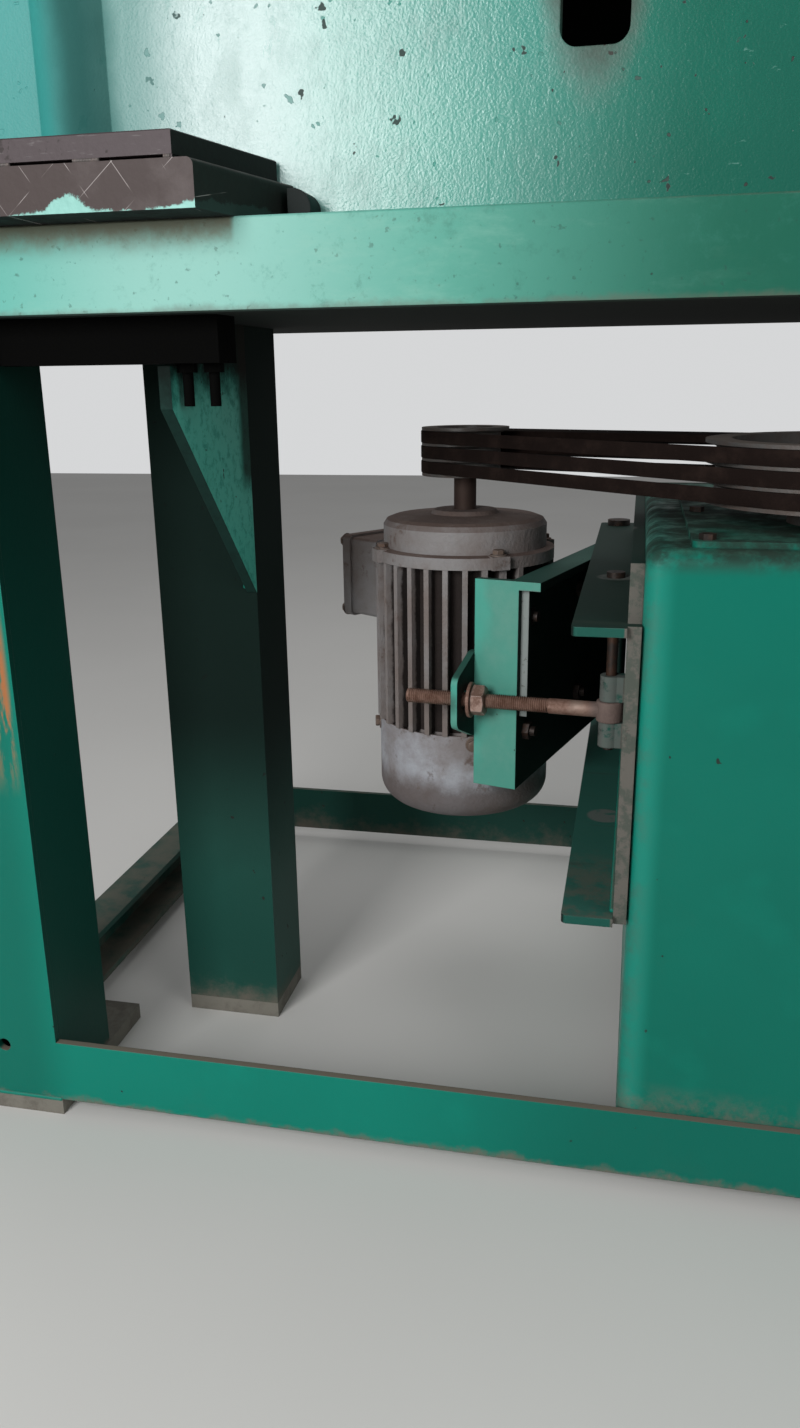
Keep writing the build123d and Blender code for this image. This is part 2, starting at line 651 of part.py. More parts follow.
# Upright body: a thick front wall, a rear wall, and a folded cover for the sides and the top
def make_front_wall():
    half = BODY_WIDTH / 2
    wall = block(-half, half, BODY_SETBACK, BODY_SETBACK + FRONT_WALL_THICK, BED_TOP, BODY_TOP)
    rib_depth = BODY_SETBACK + RIB_RADIUS - RIB_PROUD
    rib = upright(BLOCK_CENTRE_X, rib_depth, BED_TOP, TOOL_PLATE_TOP, 2 * RIB_RADIUS)
    keep = block(
        BLOCK_CENTRE_X - 2 * RIB_RADIUS, BLOCK_CENTRE_X + 2 * RIB_RADIUS,
        0, BODY_SETBACK + FRONT_WALL_THICK / 2, BED_TOP, TOOL_PLATE_TOP,
    )
    wall += rib & keep
    slot = block(
        SLOT_CENTRE_X - SLOT_WIDTH / 2, SLOT_CENTRE_X + SLOT_WIDTH / 2,
        BODY_SETBACK - 5, BODY_SETBACK + FRONT_WALL_THICK + 5, SLOT_BOTTOM, SLOT_BOTTOM + SLOT_HEIGHT,
    )
    return wall - fillet(slot.edges().filter_by(Axis.Y), SLOT_WIDTH / 4)


def make_rear_wall():
    half = BODY_WIDTH / 2
    back = BODY_SETBACK + BODY_DEPTH
    return block(-half, half, back - REAR_WALL_THICK, back, BED_TOP, BODY_TOP)


def make_body_cover():
    """Both sides and the top of the body, folded from one sheet."""
    half = BODY_WIDTH / 2
    d0 = BODY_SETBACK + FRONT_WALL_THICK
    d1 = BODY_SETBACK + BODY_DEPTH - REAR_WALL_THICK
    outer = block(-half, half, d0, d1, BED_TOP, BODY_TOP)
    inner_half = half - COVER_THICK
    inner = block(-inner_half, inner_half, d0 - 1, d1 + 1, BED_TOP - 1, BODY_TOP - COVER_THICK)
    outer = fillet(outer.edges().filter_by(Axis.Y).group_by(Axis.Z)[-1], 2 * COVER_THICK)
    inner = fillet(inner.edges().filter_by(Axis.Y).group_by(Axis.Z)[-1], COVER_THICK)
    return outer - inner


# Head, cylinder and ram
def make_head_bracket():
    """The plate that takes the cylinder's push, with a gusset at each side up to the wall."""
    x0 = BLOCK_CENTRE_X - HEAD_WIDTH / 2
    x1 = BLOCK_CENTRE_X + HEAD_WIDTH / 2
    head = block(x0, x1, HEAD_FRONT, BODY_SETBACK, HEAD_BOTTOM, HEAD_TOP)
    outline = [
        (depth(HEAD_FRONT), HEAD_TOP - 1),
        (depth(BODY_SETBACK), HEAD_TOP - 1),
        (depth(BODY_SETBACK), HEAD_TOP + HEAD_GUSSET_HEIGHT),
        (depth(BODY_SETBACK - HEAD_GUSSET_NOSE), HEAD_TOP + HEAD_GUSSET_HEIGHT),
        (depth(HEAD_FRONT), HEAD_TOP + HEAD_GUSSET_NOSE),
    ]
    gusset = extrude(Plane.YZ * make_face(Polyline(*outline, close=True)), HEAD_GUSSET_THICK, dir=(1, 0, 0))
    head += Pos(x0, 0, 0) * gusset
    head += Pos(x1 - HEAD_GUSSET_THICK, 0, 0) * gusset
    barrel_hole = 2 * (CYLINDER_RADIUS + PISTON_FIT)
    head -= upright(BLOCK_CENTRE_X, RAM_DEPTH, HEAD_BOTTOM - 1, HEAD_TOP + 1, barrel_hole)
    bolt_hole = TOOL_BOLT_DIAMETER + BOLT_HOLE_EXTRA
    for x, d in cylinder_bolt_places():
        head -= upright(x, d, HEAD_BOTTOM - 1, HEAD_BOTTOM + TOOL_BOLT_LENGTH, bolt_hole)
    pass_hole = Cylinder(PIPE_HOLE / 2, 3 * HEAD_GUSSET_THICK, rotation=(0, 90, 0))
    return head - Pos(x1, depth(RAM_DEPTH), LOWER_PORT_Z) * pass_hole


def cylinder_bolt_places():
    """X and depth of the four bolts through the cylinder's flange."""
    return [
        (BLOCK_CENTRE_X + sx * CYLINDER_BOLT_SPACING_X / 2, RAM_DEPTH + sd * CYLINDER_BOLT_SPACING_Y / 2)
        for sx in (-1, 1)
        for sd in (-1, 1)
    ]


def make_cylinder():
    """Barrel with a closed top, a bolted flange under the head plate and two side ports."""
    x = BLOCK_CENTRE_X
    barrel = upright(x, RAM_DEPTH, CYLINDER_BOTTOM, CYLINDER_TOP, 2 * CYLINDER_RADIUS)
    barrel += block(
        x - CYLINDER_FLANGE_WIDTH / 2, x + CYLINDER_FLANGE_WIDTH / 2,
        RAM_DEPTH - CYLINDER_FLANGE_DEPTH / 2, RAM_DEPTH + CYLINDER_FLANGE_DEPTH / 2,
        CYLINDER_BOTTOM, HEAD_BOTTOM,
    )
    port_reach = CYLINDER_RADIUS + PORT_LENGTH
    for z in (LOWER_PORT_Z, UPPER_PORT_Z):
        boss = Cylinder(PORT_DIAMETER / 2, port_reach, rotation=(0, 90, 0))
        barrel += Pos(x + port_reach / 2, depth(RAM_DEPTH), z) * boss
    barrel -= upright(x, RAM_DEPTH, CYLINDER_BOTTOM - 1, CYLINDER_INSIDE_TOP, CYLINDER_BORE)
    for z in (LOWER_PORT_Z, UPPER_PORT_Z):
        drill = Cylinder(PIPE_DIAMETER / 2 - PIPE_WALL, port_reach + 2, rotation=(0, 90, 0))
        barrel -= Pos(x + port_reach / 2 + 1, depth(RAM_DEPTH), z) * drill
    for bx, bd in cylinder_bolt_places():
        barrel -= upright(bx, bd, CYLINDER_BOTTOM - 1, HEAD_BOTTOM + 1, TOOL_BOLT_DIAMETER + BOLT_HOLE_EXTRA)
    return barrel


def make_gland():
    """The bronze-bushed ring that closes the barrel round the rod."""
    x = BLOCK_CENTRE_X
    gland = upright(x, RAM_DEPTH, CYLINDER_BOTTOM, GLAND_TOP, CYLINDER_BORE - 2 * PISTON_FIT)
    gland += upright(x, RAM_DEPTH, GLAND_BOTTOM, CYLINDER_BOTTOM, GLAND_RIM_DIAMETER)
    return gland - upright(x, RAM_DEPTH, GLAND_BOTTOM - 1, GLAND_TOP + 1, ROD_DIAMETER + 2 * RUNNING_FIT)


def make_piston_rod():
    x = BLOCK_CENTRE_X
    rod = upright(x, RAM_DEPTH, TOOL_PLATE_TOP, PISTON_TOP, ROD_DIAMETER)
    rod += upright(x, RAM_DEPTH, PISTON_BOTTOM, PISTON_TOP, CYLINDER_BORE - 2 * PISTON_FIT)
    rod += upright(x, RAM_DEPTH, TOOL_PLATE_TOP, TOOL_PLATE_TOP + ROD_FLANGE_THICK, ROD_FLANGE_DIAMETER)
    return rod


def make_tool_plate():
    """The ram's plate: it runs on the half-round rib of the wall and has four tool holes."""
    x = BLOCK_CENTRE_X
    plate = block(
        x - TOOL_PLATE_WIDTH / 2, x + TOOL_PLATE_WIDTH / 2,
        RAM_DEPTH - TOOL_PLATE_DEPTH / 2, RAM_DEPTH + TOOL_PLATE_DEPTH / 2,
        TOOL_PLATE_BOTTOM, TOOL_PLATE_TOP,
    )
    plate = chamfer(plate.edges(), TOOL_PLATE_EDGE)
    plate -= rib_space(TOOL_PLATE_BOTTOM, TOOL_PLATE_TOP)
    for sx in (-1, 1):
        for sd in (-1, 1):
            plate -= upright(
                x + sx * TOOL_BOLT_SPACING_X / 2, RAM_DEPTH + sd * TOOL_BOLT_SPACING_Y / 2,
                TOOL_PLATE_BOTTOM - 1, TOOL_PLATE_BOTTOM + TOOL_BOLT_LENGTH, TOOL_BOLT_DIAMETER,
            )
    return plate


# Hydraulic lines, valve, lever and gauge
def make_cylinder_pipes():
    """Two pipes from the valve's top, along the wall and forward into the cylinder's ports."""
    start_x = BLOCK_CENTRE_X + CYLINDER_RADIUS + PORT_LENGTH
    jog_x = BLOCK_CENTRE_X + HEAD_WIDTH / 2 + PIPE_PORT_RUN
    pipes = []
    for z, end_x in ((LOWER_PORT_Z, PRESSURE_PIPE_X), (UPPER_PORT_Z, RETURN_PIPE_X)):
        points = [
            (start_x, depth(RAM_DEPTH), z),
            (jog_x, depth(RAM_DEPTH), z),
            (jog_x + PIPE_JOG, depth(PIPE_RUN_DEPTH), z),
            (end_x, depth(PIPE_RUN_DEPTH), z),
            (end_x, depth(PIPE_RUN_DEPTH), VALVE_TOP),
        ]
        pipes.append(tube(points, PIPE_DIAMETER, PIPE_WALL, PIPE_BEND))
    return Compound(pipes)


def make_tank_pipes():
    """The pressure pipe from the pump and the return pipe, up through lid and bed to the valve."""
    outlet_z = PUMP_BOTTOM + PIPE_BEND
    pressure = tube(
        [
            (PUMP_X + PUMP_DIAMETER / 2, depth(PUMP_DEPTH), outlet_z),
            (PRESSURE_PIPE_X, depth(PUMP_DEPTH), outlet_z),
            (PRESSURE_PIPE_X, depth(PIPE_RUN_DEPTH), outlet_z),
            (PRESSURE_PIPE_X, depth(PIPE_RUN_DEPTH), VALVE_BOTTOM),
        ],
        PIPE_DIAMETER, PIPE_WALL, PIPE_BEND,
    )
    back = tube(
        [
            (RETURN_PIPE_X, depth(PIPE_RUN_DEPTH), RETURN_PIPE_END),
            (RETURN_PIPE_X, depth(PIPE_RUN_DEPTH), VALVE_BOTTOM),
        ],
        PIPE_DIAMETER, PIPE_WALL, PIPE_BEND,
    )
    pipes = []
    for x, pipe in ((PRESSURE_PIPE_X, pressure), (RETURN_PIPE_X, back)):
        collar_top = LID_TOP + PIPE_COLLAR_THICK
        collar = upright(x, PIPE_RUN_DEPTH, LID_TOP, collar_top, PIPE_COLLAR_DIAMETER)
        bore = upright(x, PIPE_RUN_DEPTH, LID_TOP - 1, collar_top + 1, PIPE_DIAMETER - 2 * PIPE_WALL)
        pipes.append(pipe + (collar - bore))
    return Compound(pipes)


def lever_pivot():
    """X, depth and height of the lever's pivot, in front of the valve."""
    return VALVE_X, BODY_SETBACK - VALVE_DEPTH - LEVER_STANDOFF, VALVE_BOTTOM + VALVE_HEIGHT * 0.4


def make_valve():
    """A bolted valve block with a fork at the front for the lever."""
    x0 = VALVE_X - VALVE_WIDTH / 2
    x1 = VALVE_X + VALVE_WIDTH / 2
    d0 = BODY_SETBACK - VALVE_DEPTH
    body = block(x0, x1, d0, BODY_SETBACK, VALVE_BOTTOM, VALVE_TOP)
    body = chamfer(body.edges().filter_by(Axis.X), VALVE_EDGE)
    px, pd, pz = lever_pivot()
    cheek = LEVER_PIVOT_DIAMETER * 0.6
    gap = LEVER_DIAMETER / 2 + FACE_GAP
    for side in (-1, 1):
        c0, c1 = sorted((px + side * gap, px + side * (gap + cheek)))
        fork = block(c0, c1, pd, d0 + 1, pz - LEVER_PIVOT_DIAMETER, pz + LEVER_PIVOT_DIAMETER)
        nose = Cylinder(LEVER_PIVOT_DIAMETER, cheek, rotation=(0, 90, 0))
        body += fork + Pos((c0 + c1) / 2, depth(pd), pz) * nose
    pin = Cylinder(LEVER_PIVOT_DIAMETER / 2, 2 * gap + 2 * cheek, rotation=(0, 90, 0))
    body += Pos(px, depth(pd), pz) * pin
    return body


def make_valve_lever():
    """The lever hangs from its pivot and ends in a ball."""
    px, pd, pz = lever_pivot()
    boss = Cylinder(LEVER_PIVOT_DIAMETER / 2 + LEVER_BOSS_WALL, LEVER_DIAMETER, rotation=(0, 90, 0))
    lever = Pos(px, depth(pd), pz) * boss
    lever += upright(px, pd, pz - LEVER_LENGTH, pz, LEVER_DIAMETER * 0.8)
    lever += Pos(px, depth(pd), pz - LEVER_LENGTH) * Sphere(LEVER_KNOB_DIAMETER / 2)
    hole = Cylinder(LEVER_PIVOT_DIAMETER / 2 + RUNNING_FIT, 2 * LEVER_DIAMETER, rotation=(0, 90, 0))
    return lever - Pos(px, depth(pd), pz) * hole


def gauge_centre():
    """X, depth of the dial's back and height of the pressure gauge."""
    x = VALVE_X - VALVE_WIDTH / 2 - GAUGE_GAP - GAUGE_DIAMETER / 2
    return x, BODY_SETBACK, VALVE_BOTTOM + VALVE_HEIGHT / 2


def make_gauge():
    """A round case open at the front, with a dial floor, a needle post and a stem to the valve."""
    x, d, z = gauge_centre()
    case = Cylinder(GAUGE_DIAMETER / 2, GAUGE_DEPTH, rotation=(90, 0, 0))
    recess_depth = GAUGE_DEPTH * 0.5
    recess = Cylinder(GAUGE_DIAMETER / 2 - GAUGE_WALL, recess_depth, rotation=(90, 0, 0))
    post = Cylinder(GAUGE_POST_DIAMETER / 2, recess_depth * 0.7, rotation=(90, 0, 0))
    gauge = Pos(x, depth(d - GAUGE_DEPTH / 2), z) * case
    gauge -= Pos(x, depth(d - GAUGE_DEPTH + recess_depth / 2), z) * recess
    gauge += Pos(x, depth(d - GAUGE_DEPTH + recess_depth * 0.65), z) * post
    valve_side = VALVE_X - VALVE_WIDTH / 2
    stem_depth = d - GAUGE_DEPTH / 4
    half = GAUGE_STEM / 2
    return gauge + block(
        x + GAUGE_DIAMETER / 4, valve_side, stem_depth - half, stem_depth + half, z - half, z + half,
    )


def make_needle():
    """A flat pointer that turns on the dial's post."""
    x, d, z = gauge_centre()
    recess_depth = GAUGE_DEPTH * 0.5
    y = depth(d - GAUGE_DEPTH + recess_depth * 0.55)
    hub = Cylinder(NEEDLE_HUB_DIAMETER / 2, 2 * NEEDLE_THICK, rotation=(90, 0, 0))
    blade = Pos(0, 0, NEEDLE_TAIL - NEEDLE_LENGTH / 2) * Box(NEEDLE_WIDTH, NEEDLE_THICK, NEEDLE_LENGTH)
    needle = hub + blade
    needle -= Cylinder(GAUGE_POST_DIAMETER / 2 + RUNNING_FIT, 5 * NEEDLE_THICK, rotation=(90, 0, 0))
    return Pos(x, y, z) * Rot(0, 45, 0) * needle


# Oil tank, its lid and what hangs in it
def lid_bolt_places():
    """X and depth of the bolts round the lid's rim."""
    x0 = LID_LEFT + LID_BOLT_INSET
    x1 = LID_RIGHT - LID_BOLT_INSET
    d0 = LID_FRONT + LID_BOLT_INSET
    d1 = LID_FRONT + LID_DEPTH - LID_BOLT_INSET
    middle = (d0 + d1) / 2
    across = (x0 + x1) / 2
    return [(x0, d0), (across, d0), (x1, d0), (x0, middle), (x1, middle), (x0, d1), (across, d1), (x1, d1)]


def make_tank():
    x1 = TANK_RIGHT
    back = TANK_FRONT + TANK_DEPTH
    outer = block(TANK_LEFT, x1, TANK_FRONT, back, BEARER_HEIGHT, TANK_TOP)
    rounded = outer.edges().filter_by(Axis.Z) + outer.edges().group_by(Axis.Z)[-1]
    outer = fillet(rounded, TANK_CORNER)
    inner = block(
        TANK_LEFT + TANK_WALL, x1 - TANK_WALL, TANK_FRONT + TANK_WALL, back - TANK_WALL,
        BEARER_HEIGHT + TANK_WALL, TANK_TOP - TANK_WALL,
    )
    rounded = inner.edges().filter_by(Axis.Z) + inner.edges().group_by(Axis.Z)[-1]
    inner = fillet(rounded, TANK_CORNER - TANK_WALL)
    margin = TANK_MOUTH_MARGIN
    mouth = block(
        LID_LEFT + margin, LID_RIGHT - margin, LID_FRONT + margin, LID_FRONT + LID_DEPTH - margin,
        TANK_TOP - 2 * TANK_WALL, TANK_TOP + 1,
    )
    tank = outer - inner - mouth
    for x, d in lid_bolt_places():
        tank -= upright(x, d, TANK_TOP - 2 * TANK_WALL, TANK_TOP + 1, LID_BOLT_DIAMETER + BOLT_HOLE_EXTRA)
    return tank


def make_tank_lid():
    lid = block(LID_LEFT, LID_RIGHT, LID_FRONT, LID_FRONT + LID_DEPTH, TANK_TOP, LID_TOP)
    lid = fillet(lid.edges().filter_by(Axis.Z), LID_CORNER)
    lid += upright(NECK_X, NECK_DEPTH, LID_TOP, LID_TOP + NECK_HEIGHT, NECK_DIAMETER)
    lid -= upright(NECK_X, NECK_DEPTH, TANK_TOP - 1, LID_TOP + NECK_HEIGHT + 1, NECK_DIAMETER - 2 * NECK_WALL)
    lid -= upright(PUMP_X, PUMP_DEPTH, TANK_TOP - 1, LID_TOP + 1, PUMP_DIAMETER + 1)
    for x in (PRESSURE_PIPE_X, RETURN_PIPE_X):
        lid -= upright(x, PIPE_RUN_DEPTH, TANK_TOP - 1, LID_TOP + 1, PIPE_DIAMETER + 1)
    for x, d in lid_bolt_places():
        lid -= upright(x, d, TANK_TOP - 1, LID_TOP + 1, LID_BOLT_DIAMETER + BOLT_HOLE_EXTRA)
    return lid


def make_filler_cap():
    """A screw cap over the filler neck, with a knurl-sized rim of flats."""
    z0 = LID_TOP + NECK_HEIGHT - CAP_HEIGHT + CAP_WALL + FACE_GAP
    cap = upright(NECK_X, NECK_DEPTH, z0, z0 + CAP_HEIGHT, CAP_DIAMETER)
    cap -= upright(NECK_X, NECK_DEPTH, z0 - 1, z0 + CAP_HEIGHT - CAP_WALL, NECK_DIAMETER + 2 * FACE_GAP)
    top_rim = cap.edges().filter_by(GeomType.CIRCLE).group_by(Axis.Z)[-1]
    return chamfer(top_rim, CAP_EDGE)


def make_hex_bolts():
    """All plain hexagon bolts of the frame: the lid's and the cylinder flange's."""
    bolts = [bolt_down(x, d, LID_TOP, LID_BOLT_DIAMETER, LID_BOLT_LENGTH) for x, d in lid_bolt_places()]
    length = HEAD_BOTTOM - CYLINDER_BOTTOM + CYLINDER_BOLT_GRIP
    for x, d in cylinder_bolt_places():
        bolts.append(bolt_up(x, d, CYLINDER_BOTTOM, TOOL_BOLT_DIAMETER, length))
    return Compound(bolts)


def make_pump():
    """Gear pump under the lid: a flange on the lid, a round body and a bore for its shaft."""
    pump = upright(PUMP_X, PUMP_DEPTH, LID_TOP, LID_TOP + PUMP_FLANGE_THICK, PUMP_FLANGE_DIAMETER)
    pump += upright(PUMP_X, PUMP_DEPTH, PUMP_BOTTOM, LID_TOP, PUMP_DIAMETER)
    low = LID_TOP - PUMP_SHAFT_SINK - FACE_GAP
    bore = PUMP_SHAFT_DIAMETER + 2 * RUNNING_FIT
    pump -= upright(PUMP_X, PUMP_DEPTH, low, LID_TOP + PUMP_FLANGE_THICK + 1, bore)
    low_edge = pump.edges().filter_by(GeomType.CIRCLE).group_by(Axis.Z)[0]
    return chamfer(low_edge, PUMP_EDGE)


def make_strainer():
    z1 = PUMP_BOTTOM - STRAINER_NECK_LENGTH
    basket = upright(PUMP_X, PUMP_DEPTH, z1 - STRAINER_LENGTH, z1, STRAINER_DIAMETER)
    groove_step = STRAINER_LENGTH / (STRAINER_GROOVES + 1)
    core = STRAINER_DIAMETER - 2 * STRAINER_GROOVE_DEPTH
    half = STRAINER_GROOVE_WIDTH / 2
    for i in range(STRAINER_GROOVES):
        z = z1 - (i + 1) * groove_step
        groove = upright(PUMP_X, PUMP_DEPTH, z - half, z + half, STRAINER_DIAMETER + 2)
        basket -= groove - upright(PUMP_X, PUMP_DEPTH, z - half - 1, z + half + 1, core)
    return basket + upright(PUMP_X, PUMP_DEPTH, z1, PUMP_BOTTOM, STRAINER_NECK_DIAMETER)


# Hinge plate on the tank's side, with two long ears and the lugs for the eye bolt
def make_hinge_plate():
    x1 = TANK_LEFT
    x0 = x1 - HINGE_PLATE_THICK
    tank_back = TANK_FRONT + TANK_DEPTH
    low = EAR_LOWER_TOP - EAR_THICK
    plate = block(x0, x1, TANK_FRONT + TANK_CORNER, tank_back - TANK_CORNER, low, TANK_TOP - TANK_CORNER)
    plate += block(x0, x1, HINGE_PLATE_FRONT + FRAME_PLATE, EAR_LENGTH, low, EAR_UPPER_TOP)
    pin_hole = HINGE_PIN_DIAMETER + 2 * PISTON_FIT
    for top in (EAR_LOWER_TOP, EAR_UPPER_TOP):
        ear = block(x0 - EAR_WIDTH, x0, HINGE_PLATE_FRONT, EAR_LENGTH, top - EAR_THICK, top)
        corners = ear.edges().filter_by(Axis.Z).sort_by(Axis.X)[0:2]
        plate += fillet(corners, EAR_CORNER)
        plate -= upright(HINGE_X, HINGE_PIN_SETBACK, top - EAR_THICK - 1, top + 1, pin_hole)
    half_eye = EYE_THICK / 2 + EYE_GAP
    half_web = LUG_DIAMETER / 2 - 2
    for side in (-1, 1):
        z0, z1 = sorted((ROD_HEIGHT + side * half_eye, ROD_HEIGHT + side * (half_eye + LUG_HEIGHT)))
        lug = upright(EYE_X, EYE_DEPTH, z0, z1, LUG_DIAMETER)
        lug += block(EYE_X, x0 + 1, EYE_DEPTH - half_web, EYE_DEPTH + half_web, z0, z1)
        plate += lug
    pin_hole_top = EAR_UPPER_TOP + 1
    pin_hole_low = ROD_HEIGHT - half_eye - LUG_HEIGHT - 1
    return plate - upright(EYE_X, EYE_DEPTH, pin_hole_low, pin_hole_top, EYE_PIN_DIAMETER + 2 * PISTON_FIT)


def make_hinge_pin():
    """The pin through both ears, with a head on the upper one."""
    low = EAR_LOWER_TOP - EAR_THICK - HINGE_PIN_TAIL
    top = EAR_UPPER_TOP + HINGE_PIN_HEAD
    pin = upright(HINGE_X, HINGE_PIN_SETBACK, low, EAR_UPPER_TOP, HINGE_PIN_DIAMETER)
    return pin + upright(HINGE_X, HINGE_PIN_SETBACK, EAR_UPPER_TOP, top, HINGE_PIN_HEAD_DIAMETER)


def make_eye_pin():
    """The upright pin of the eye bolt, from the lower lug up to the upper ear."""
    low = ROD_HEIGHT - EYE_THICK / 2 - EYE_GAP - LUG_HEIGHT - EYE_PIN_TAIL
    top = EAR_UPPER_TOP + EYE_PIN_HEAD
    pin = upright(EYE_X, EYE_DEPTH, low, EAR_UPPER_TOP, EYE_PIN_DIAMETER)
    return pin + upright(EYE_X, EYE_DEPTH, EAR_UPPER_TOP, top, EYE_PIN_HEAD_DIAMETER)


# Bracket space: the hinge axis is the origin, local X runs to the bracket's front edge,
# and the motor stands on the side of negative local Y
BRACKET_PLACE = Pos(HINGE_X, depth(HINGE_PIN_SETBACK), 0) * Rot(0, 0, -90 - BRACKET_YAW)


def local_block(u0, u1, v0, v1, z0, z1):
    """A rectangular solid in bracket space."""
    return Pos((u0 + u1) / 2, (v0 + v1) / 2, (z0 + z1) / 2) * Box(u1 - u0, v1 - v0, z1 - z0)


def foot_places():
    """Local X and height of the four motor feet."""
    middle = MOTOR_BODY_BOTTOM + (MOTOR_FOOT_HEIGHT + MOTOR_FOOT_SPACING_Z) / 2
    return [
        (MOTOR_FROM_HINGE + su * MOTOR_FOOT_SPACING_X / 2, middle + sz * MOTOR_FOOT_SPACING_Z / 2)
        for su in (-1, 1)
        for sz in (-1, 1)
    ]


def ear_hole():
    """The middle of the hole in the bracket's ear, in bracket space."""
    return Vector(EAR_HOLE_ALONG, -EAR_HOLE_ASIDE, ROD_HEIGHT)


def make_motor_bracket():
    """Web, front flange, top and bottom rails, hinge tube and the ear that the rod pushes."""
    rail = BRACKET_PLATE
    tube_radius = BRACKET_TUBE_DIAMETER / 2
    u_back = BRACKET_LENGTH - rail
    web = local_block(tube_radius - 4, BRACKET_LENGTH, 0, rail, BRACKET_BOTTOM, BRACKET_TOP)
    web += local_block(u_back, BRACKET_LENGTH, -BRACKET_FLANGE, rail, BRACKET_BOTTOM, BRACKET_TOP)
    web += local_block(BRACKET_RAIL_START, BRACKET_LENGTH, 0, BRACKET_RAIL, BRACKET_TOP - rail, BRACKET_TOP)
    middle = (BRACKET_BOTTOM + BRACKET_TOP) / 2
    bar_middle = middle + BACKING_BAR_RISE
    web += local_block(
        u_back - BACKING_BAR_WIDTH, u_back, rail, rail + BACKING_BAR_THICK,
        bar_middle - BACKING_BAR_HEIGHT / 2, bar_middle + BACKING_BAR_HEIGHT / 2,
    )
    tall = BRACKET_TOP - BRACKET_BOTTOM
    web += Pos(0, 0, middle) * Cylinder(tube_radius, tall)
    web -= Pos(0, 0, middle) * Cylinder(HINGE_PIN_DIAMETER / 2 + RUNNING_FIT, tall + 2)
    bolt_hole = (FOOT_BOLT_DIAMETER + BOLT_HOLE_EXTRA) / 2
    for u, z in foot_places():
        web -= Pos(u, 0, z) * Cylinder(bolt_hole, 6 * rail, rotation=(90, 0, 0))
    u_front = u_back + PULL_EAR_REACH
    outline = [
        (u_back, ROD_HEIGHT - PULL_EAR_HEIGHT / 2),
        (BRACKET_LENGTH, ROD_HEIGHT - PULL_EAR_HEIGHT / 2),
        (u_front, ROD_HEIGHT - PULL_EAR_NOSE / 2),
        (u_front, ROD_HEIGHT + PULL_EAR_NOSE / 2),
        (BRACKET_LENGTH, ROD_HEIGHT + PULL_EAR_HEIGHT / 2),
        (u_back, ROD_HEIGHT + PULL_EAR_HEIGHT / 2),
    ]
    ear = extrude(Plane.XZ * make_face(Polyline(*outline, close=True)), PULL_EAR_THICK, dir=(0, -1, 0))
    ear = fillet(ear.edges().filter_by(Axis.Y).sort_by(Axis.X)[-4:], PULL_EAR_CORNER)
    web += Pos(0, -BRACKET_FLANGE, 0) * ear
    slot = SlotOverall(PULL_EAR_SLOT_LENGTH, PULL_EAR_SLOT)
    slot = extrude(Plane.XZ * slot, PULL_EAR_THICK + 2, both=True)
    web -= Pos(ear_hole()) * slot
    return BRACKET_PLACE * web


def motor_solid(shape):
    """Places a shape that is turned round the motor's own axis, feet towards the bracket."""
    return BRACKET_PLACE * Pos(MOTOR_FROM_HINGE, -MOTOR_SHAFT_HEIGHT, 0) * shape


def ring(outer, inner, z0, z1):
    """A round sleeve on the motor's axis."""
    sleeve = Circle(outer / 2) - Circle(inner / 2) if inner > 0 else Circle(outer / 2)
    return Pos(0, 0, z0) * extrude(sleeve, z1 - z0)


def make_motor_body():
    """Cast housing: a round sleeve with upright cooling fins and four feet."""
    z0 = MOTOR_BODY_BOTTOM
    z1 = MOTOR_BODY_TOP
    radius = MOTOR_BODY_DIAMETER / 2
    section = Circle(radius)
    reach = math.sqrt((MOTOR_FIN_DIAMETER / 2) ** 2 - (MOTOR_FIN_THICK / 2) ** 2)
    fin = Pos((radius + reach) / 2 - 1, 0, 0) * Rectangle(reach - radius + 2, MOTOR_FIN_THICK)
    for i in range(MOTOR_FIN_COUNT):
        turn = 360 * i / MOTOR_FIN_COUNT
        if reach * math.sin(math.radians(turn)) < MOTOR_SHAFT_HEIGHT - MOTOR_FIN_THICK:
            section += Rot(0, 0, turn) * fin
    section -= Circle(radius - MOTOR_BODY_WALL)
    body = Pos(0, 0, z0) * extrude(section, z1 - z0)
    half_w = MOTOR_FOOT_WIDTH / 2
    half_h = MOTOR_FOOT_HEIGHT / 2
    face = MOTOR_SHAFT_HEIGHT
    bolt_hole = (FOOT_BOLT_DIAMETER + BOLT_HOLE_EXTRA) / 2
    for u, z in foot_places():
        du = u - MOTOR_FROM_HINGE
        foot = local_block(du - half_w, du + half_w, face - MOTOR_FOOT_THICK, face, z - half_h, z + half_h)
        inward = du - math.copysign(half_w, du)
        web_u = sorted((inward, inward + math.copysign(MOTOR_FOOT_WEB, du)))
        foot += local_block(web_u[0], web_u[1], radius * 0.42, face - 2, z - half_h, z + half_h)
        foot -= ring(2 * radius - 2, 0, z0 - 1, z1 + 1)
        foot -= Pos(du, face, z) * Cylinder(bolt_hole, 4 * MOTOR_FOOT_THICK, rotation=(90, 0, 0))
        body += foot
    return motor_solid(body)


def make_stator():
    middle = (MOTOR_BODY_BOTTOM + MOTOR_BODY_TOP) / 2
    outer = MOTOR_BODY_DIAMETER - 2 * MOTOR_BODY_WALL - 2 * PISTON_FIT
    return motor_solid(ring(outer, STATOR_BORE, middle - STATOR_LENGTH / 2, middle + STATOR_LENGTH / 2))


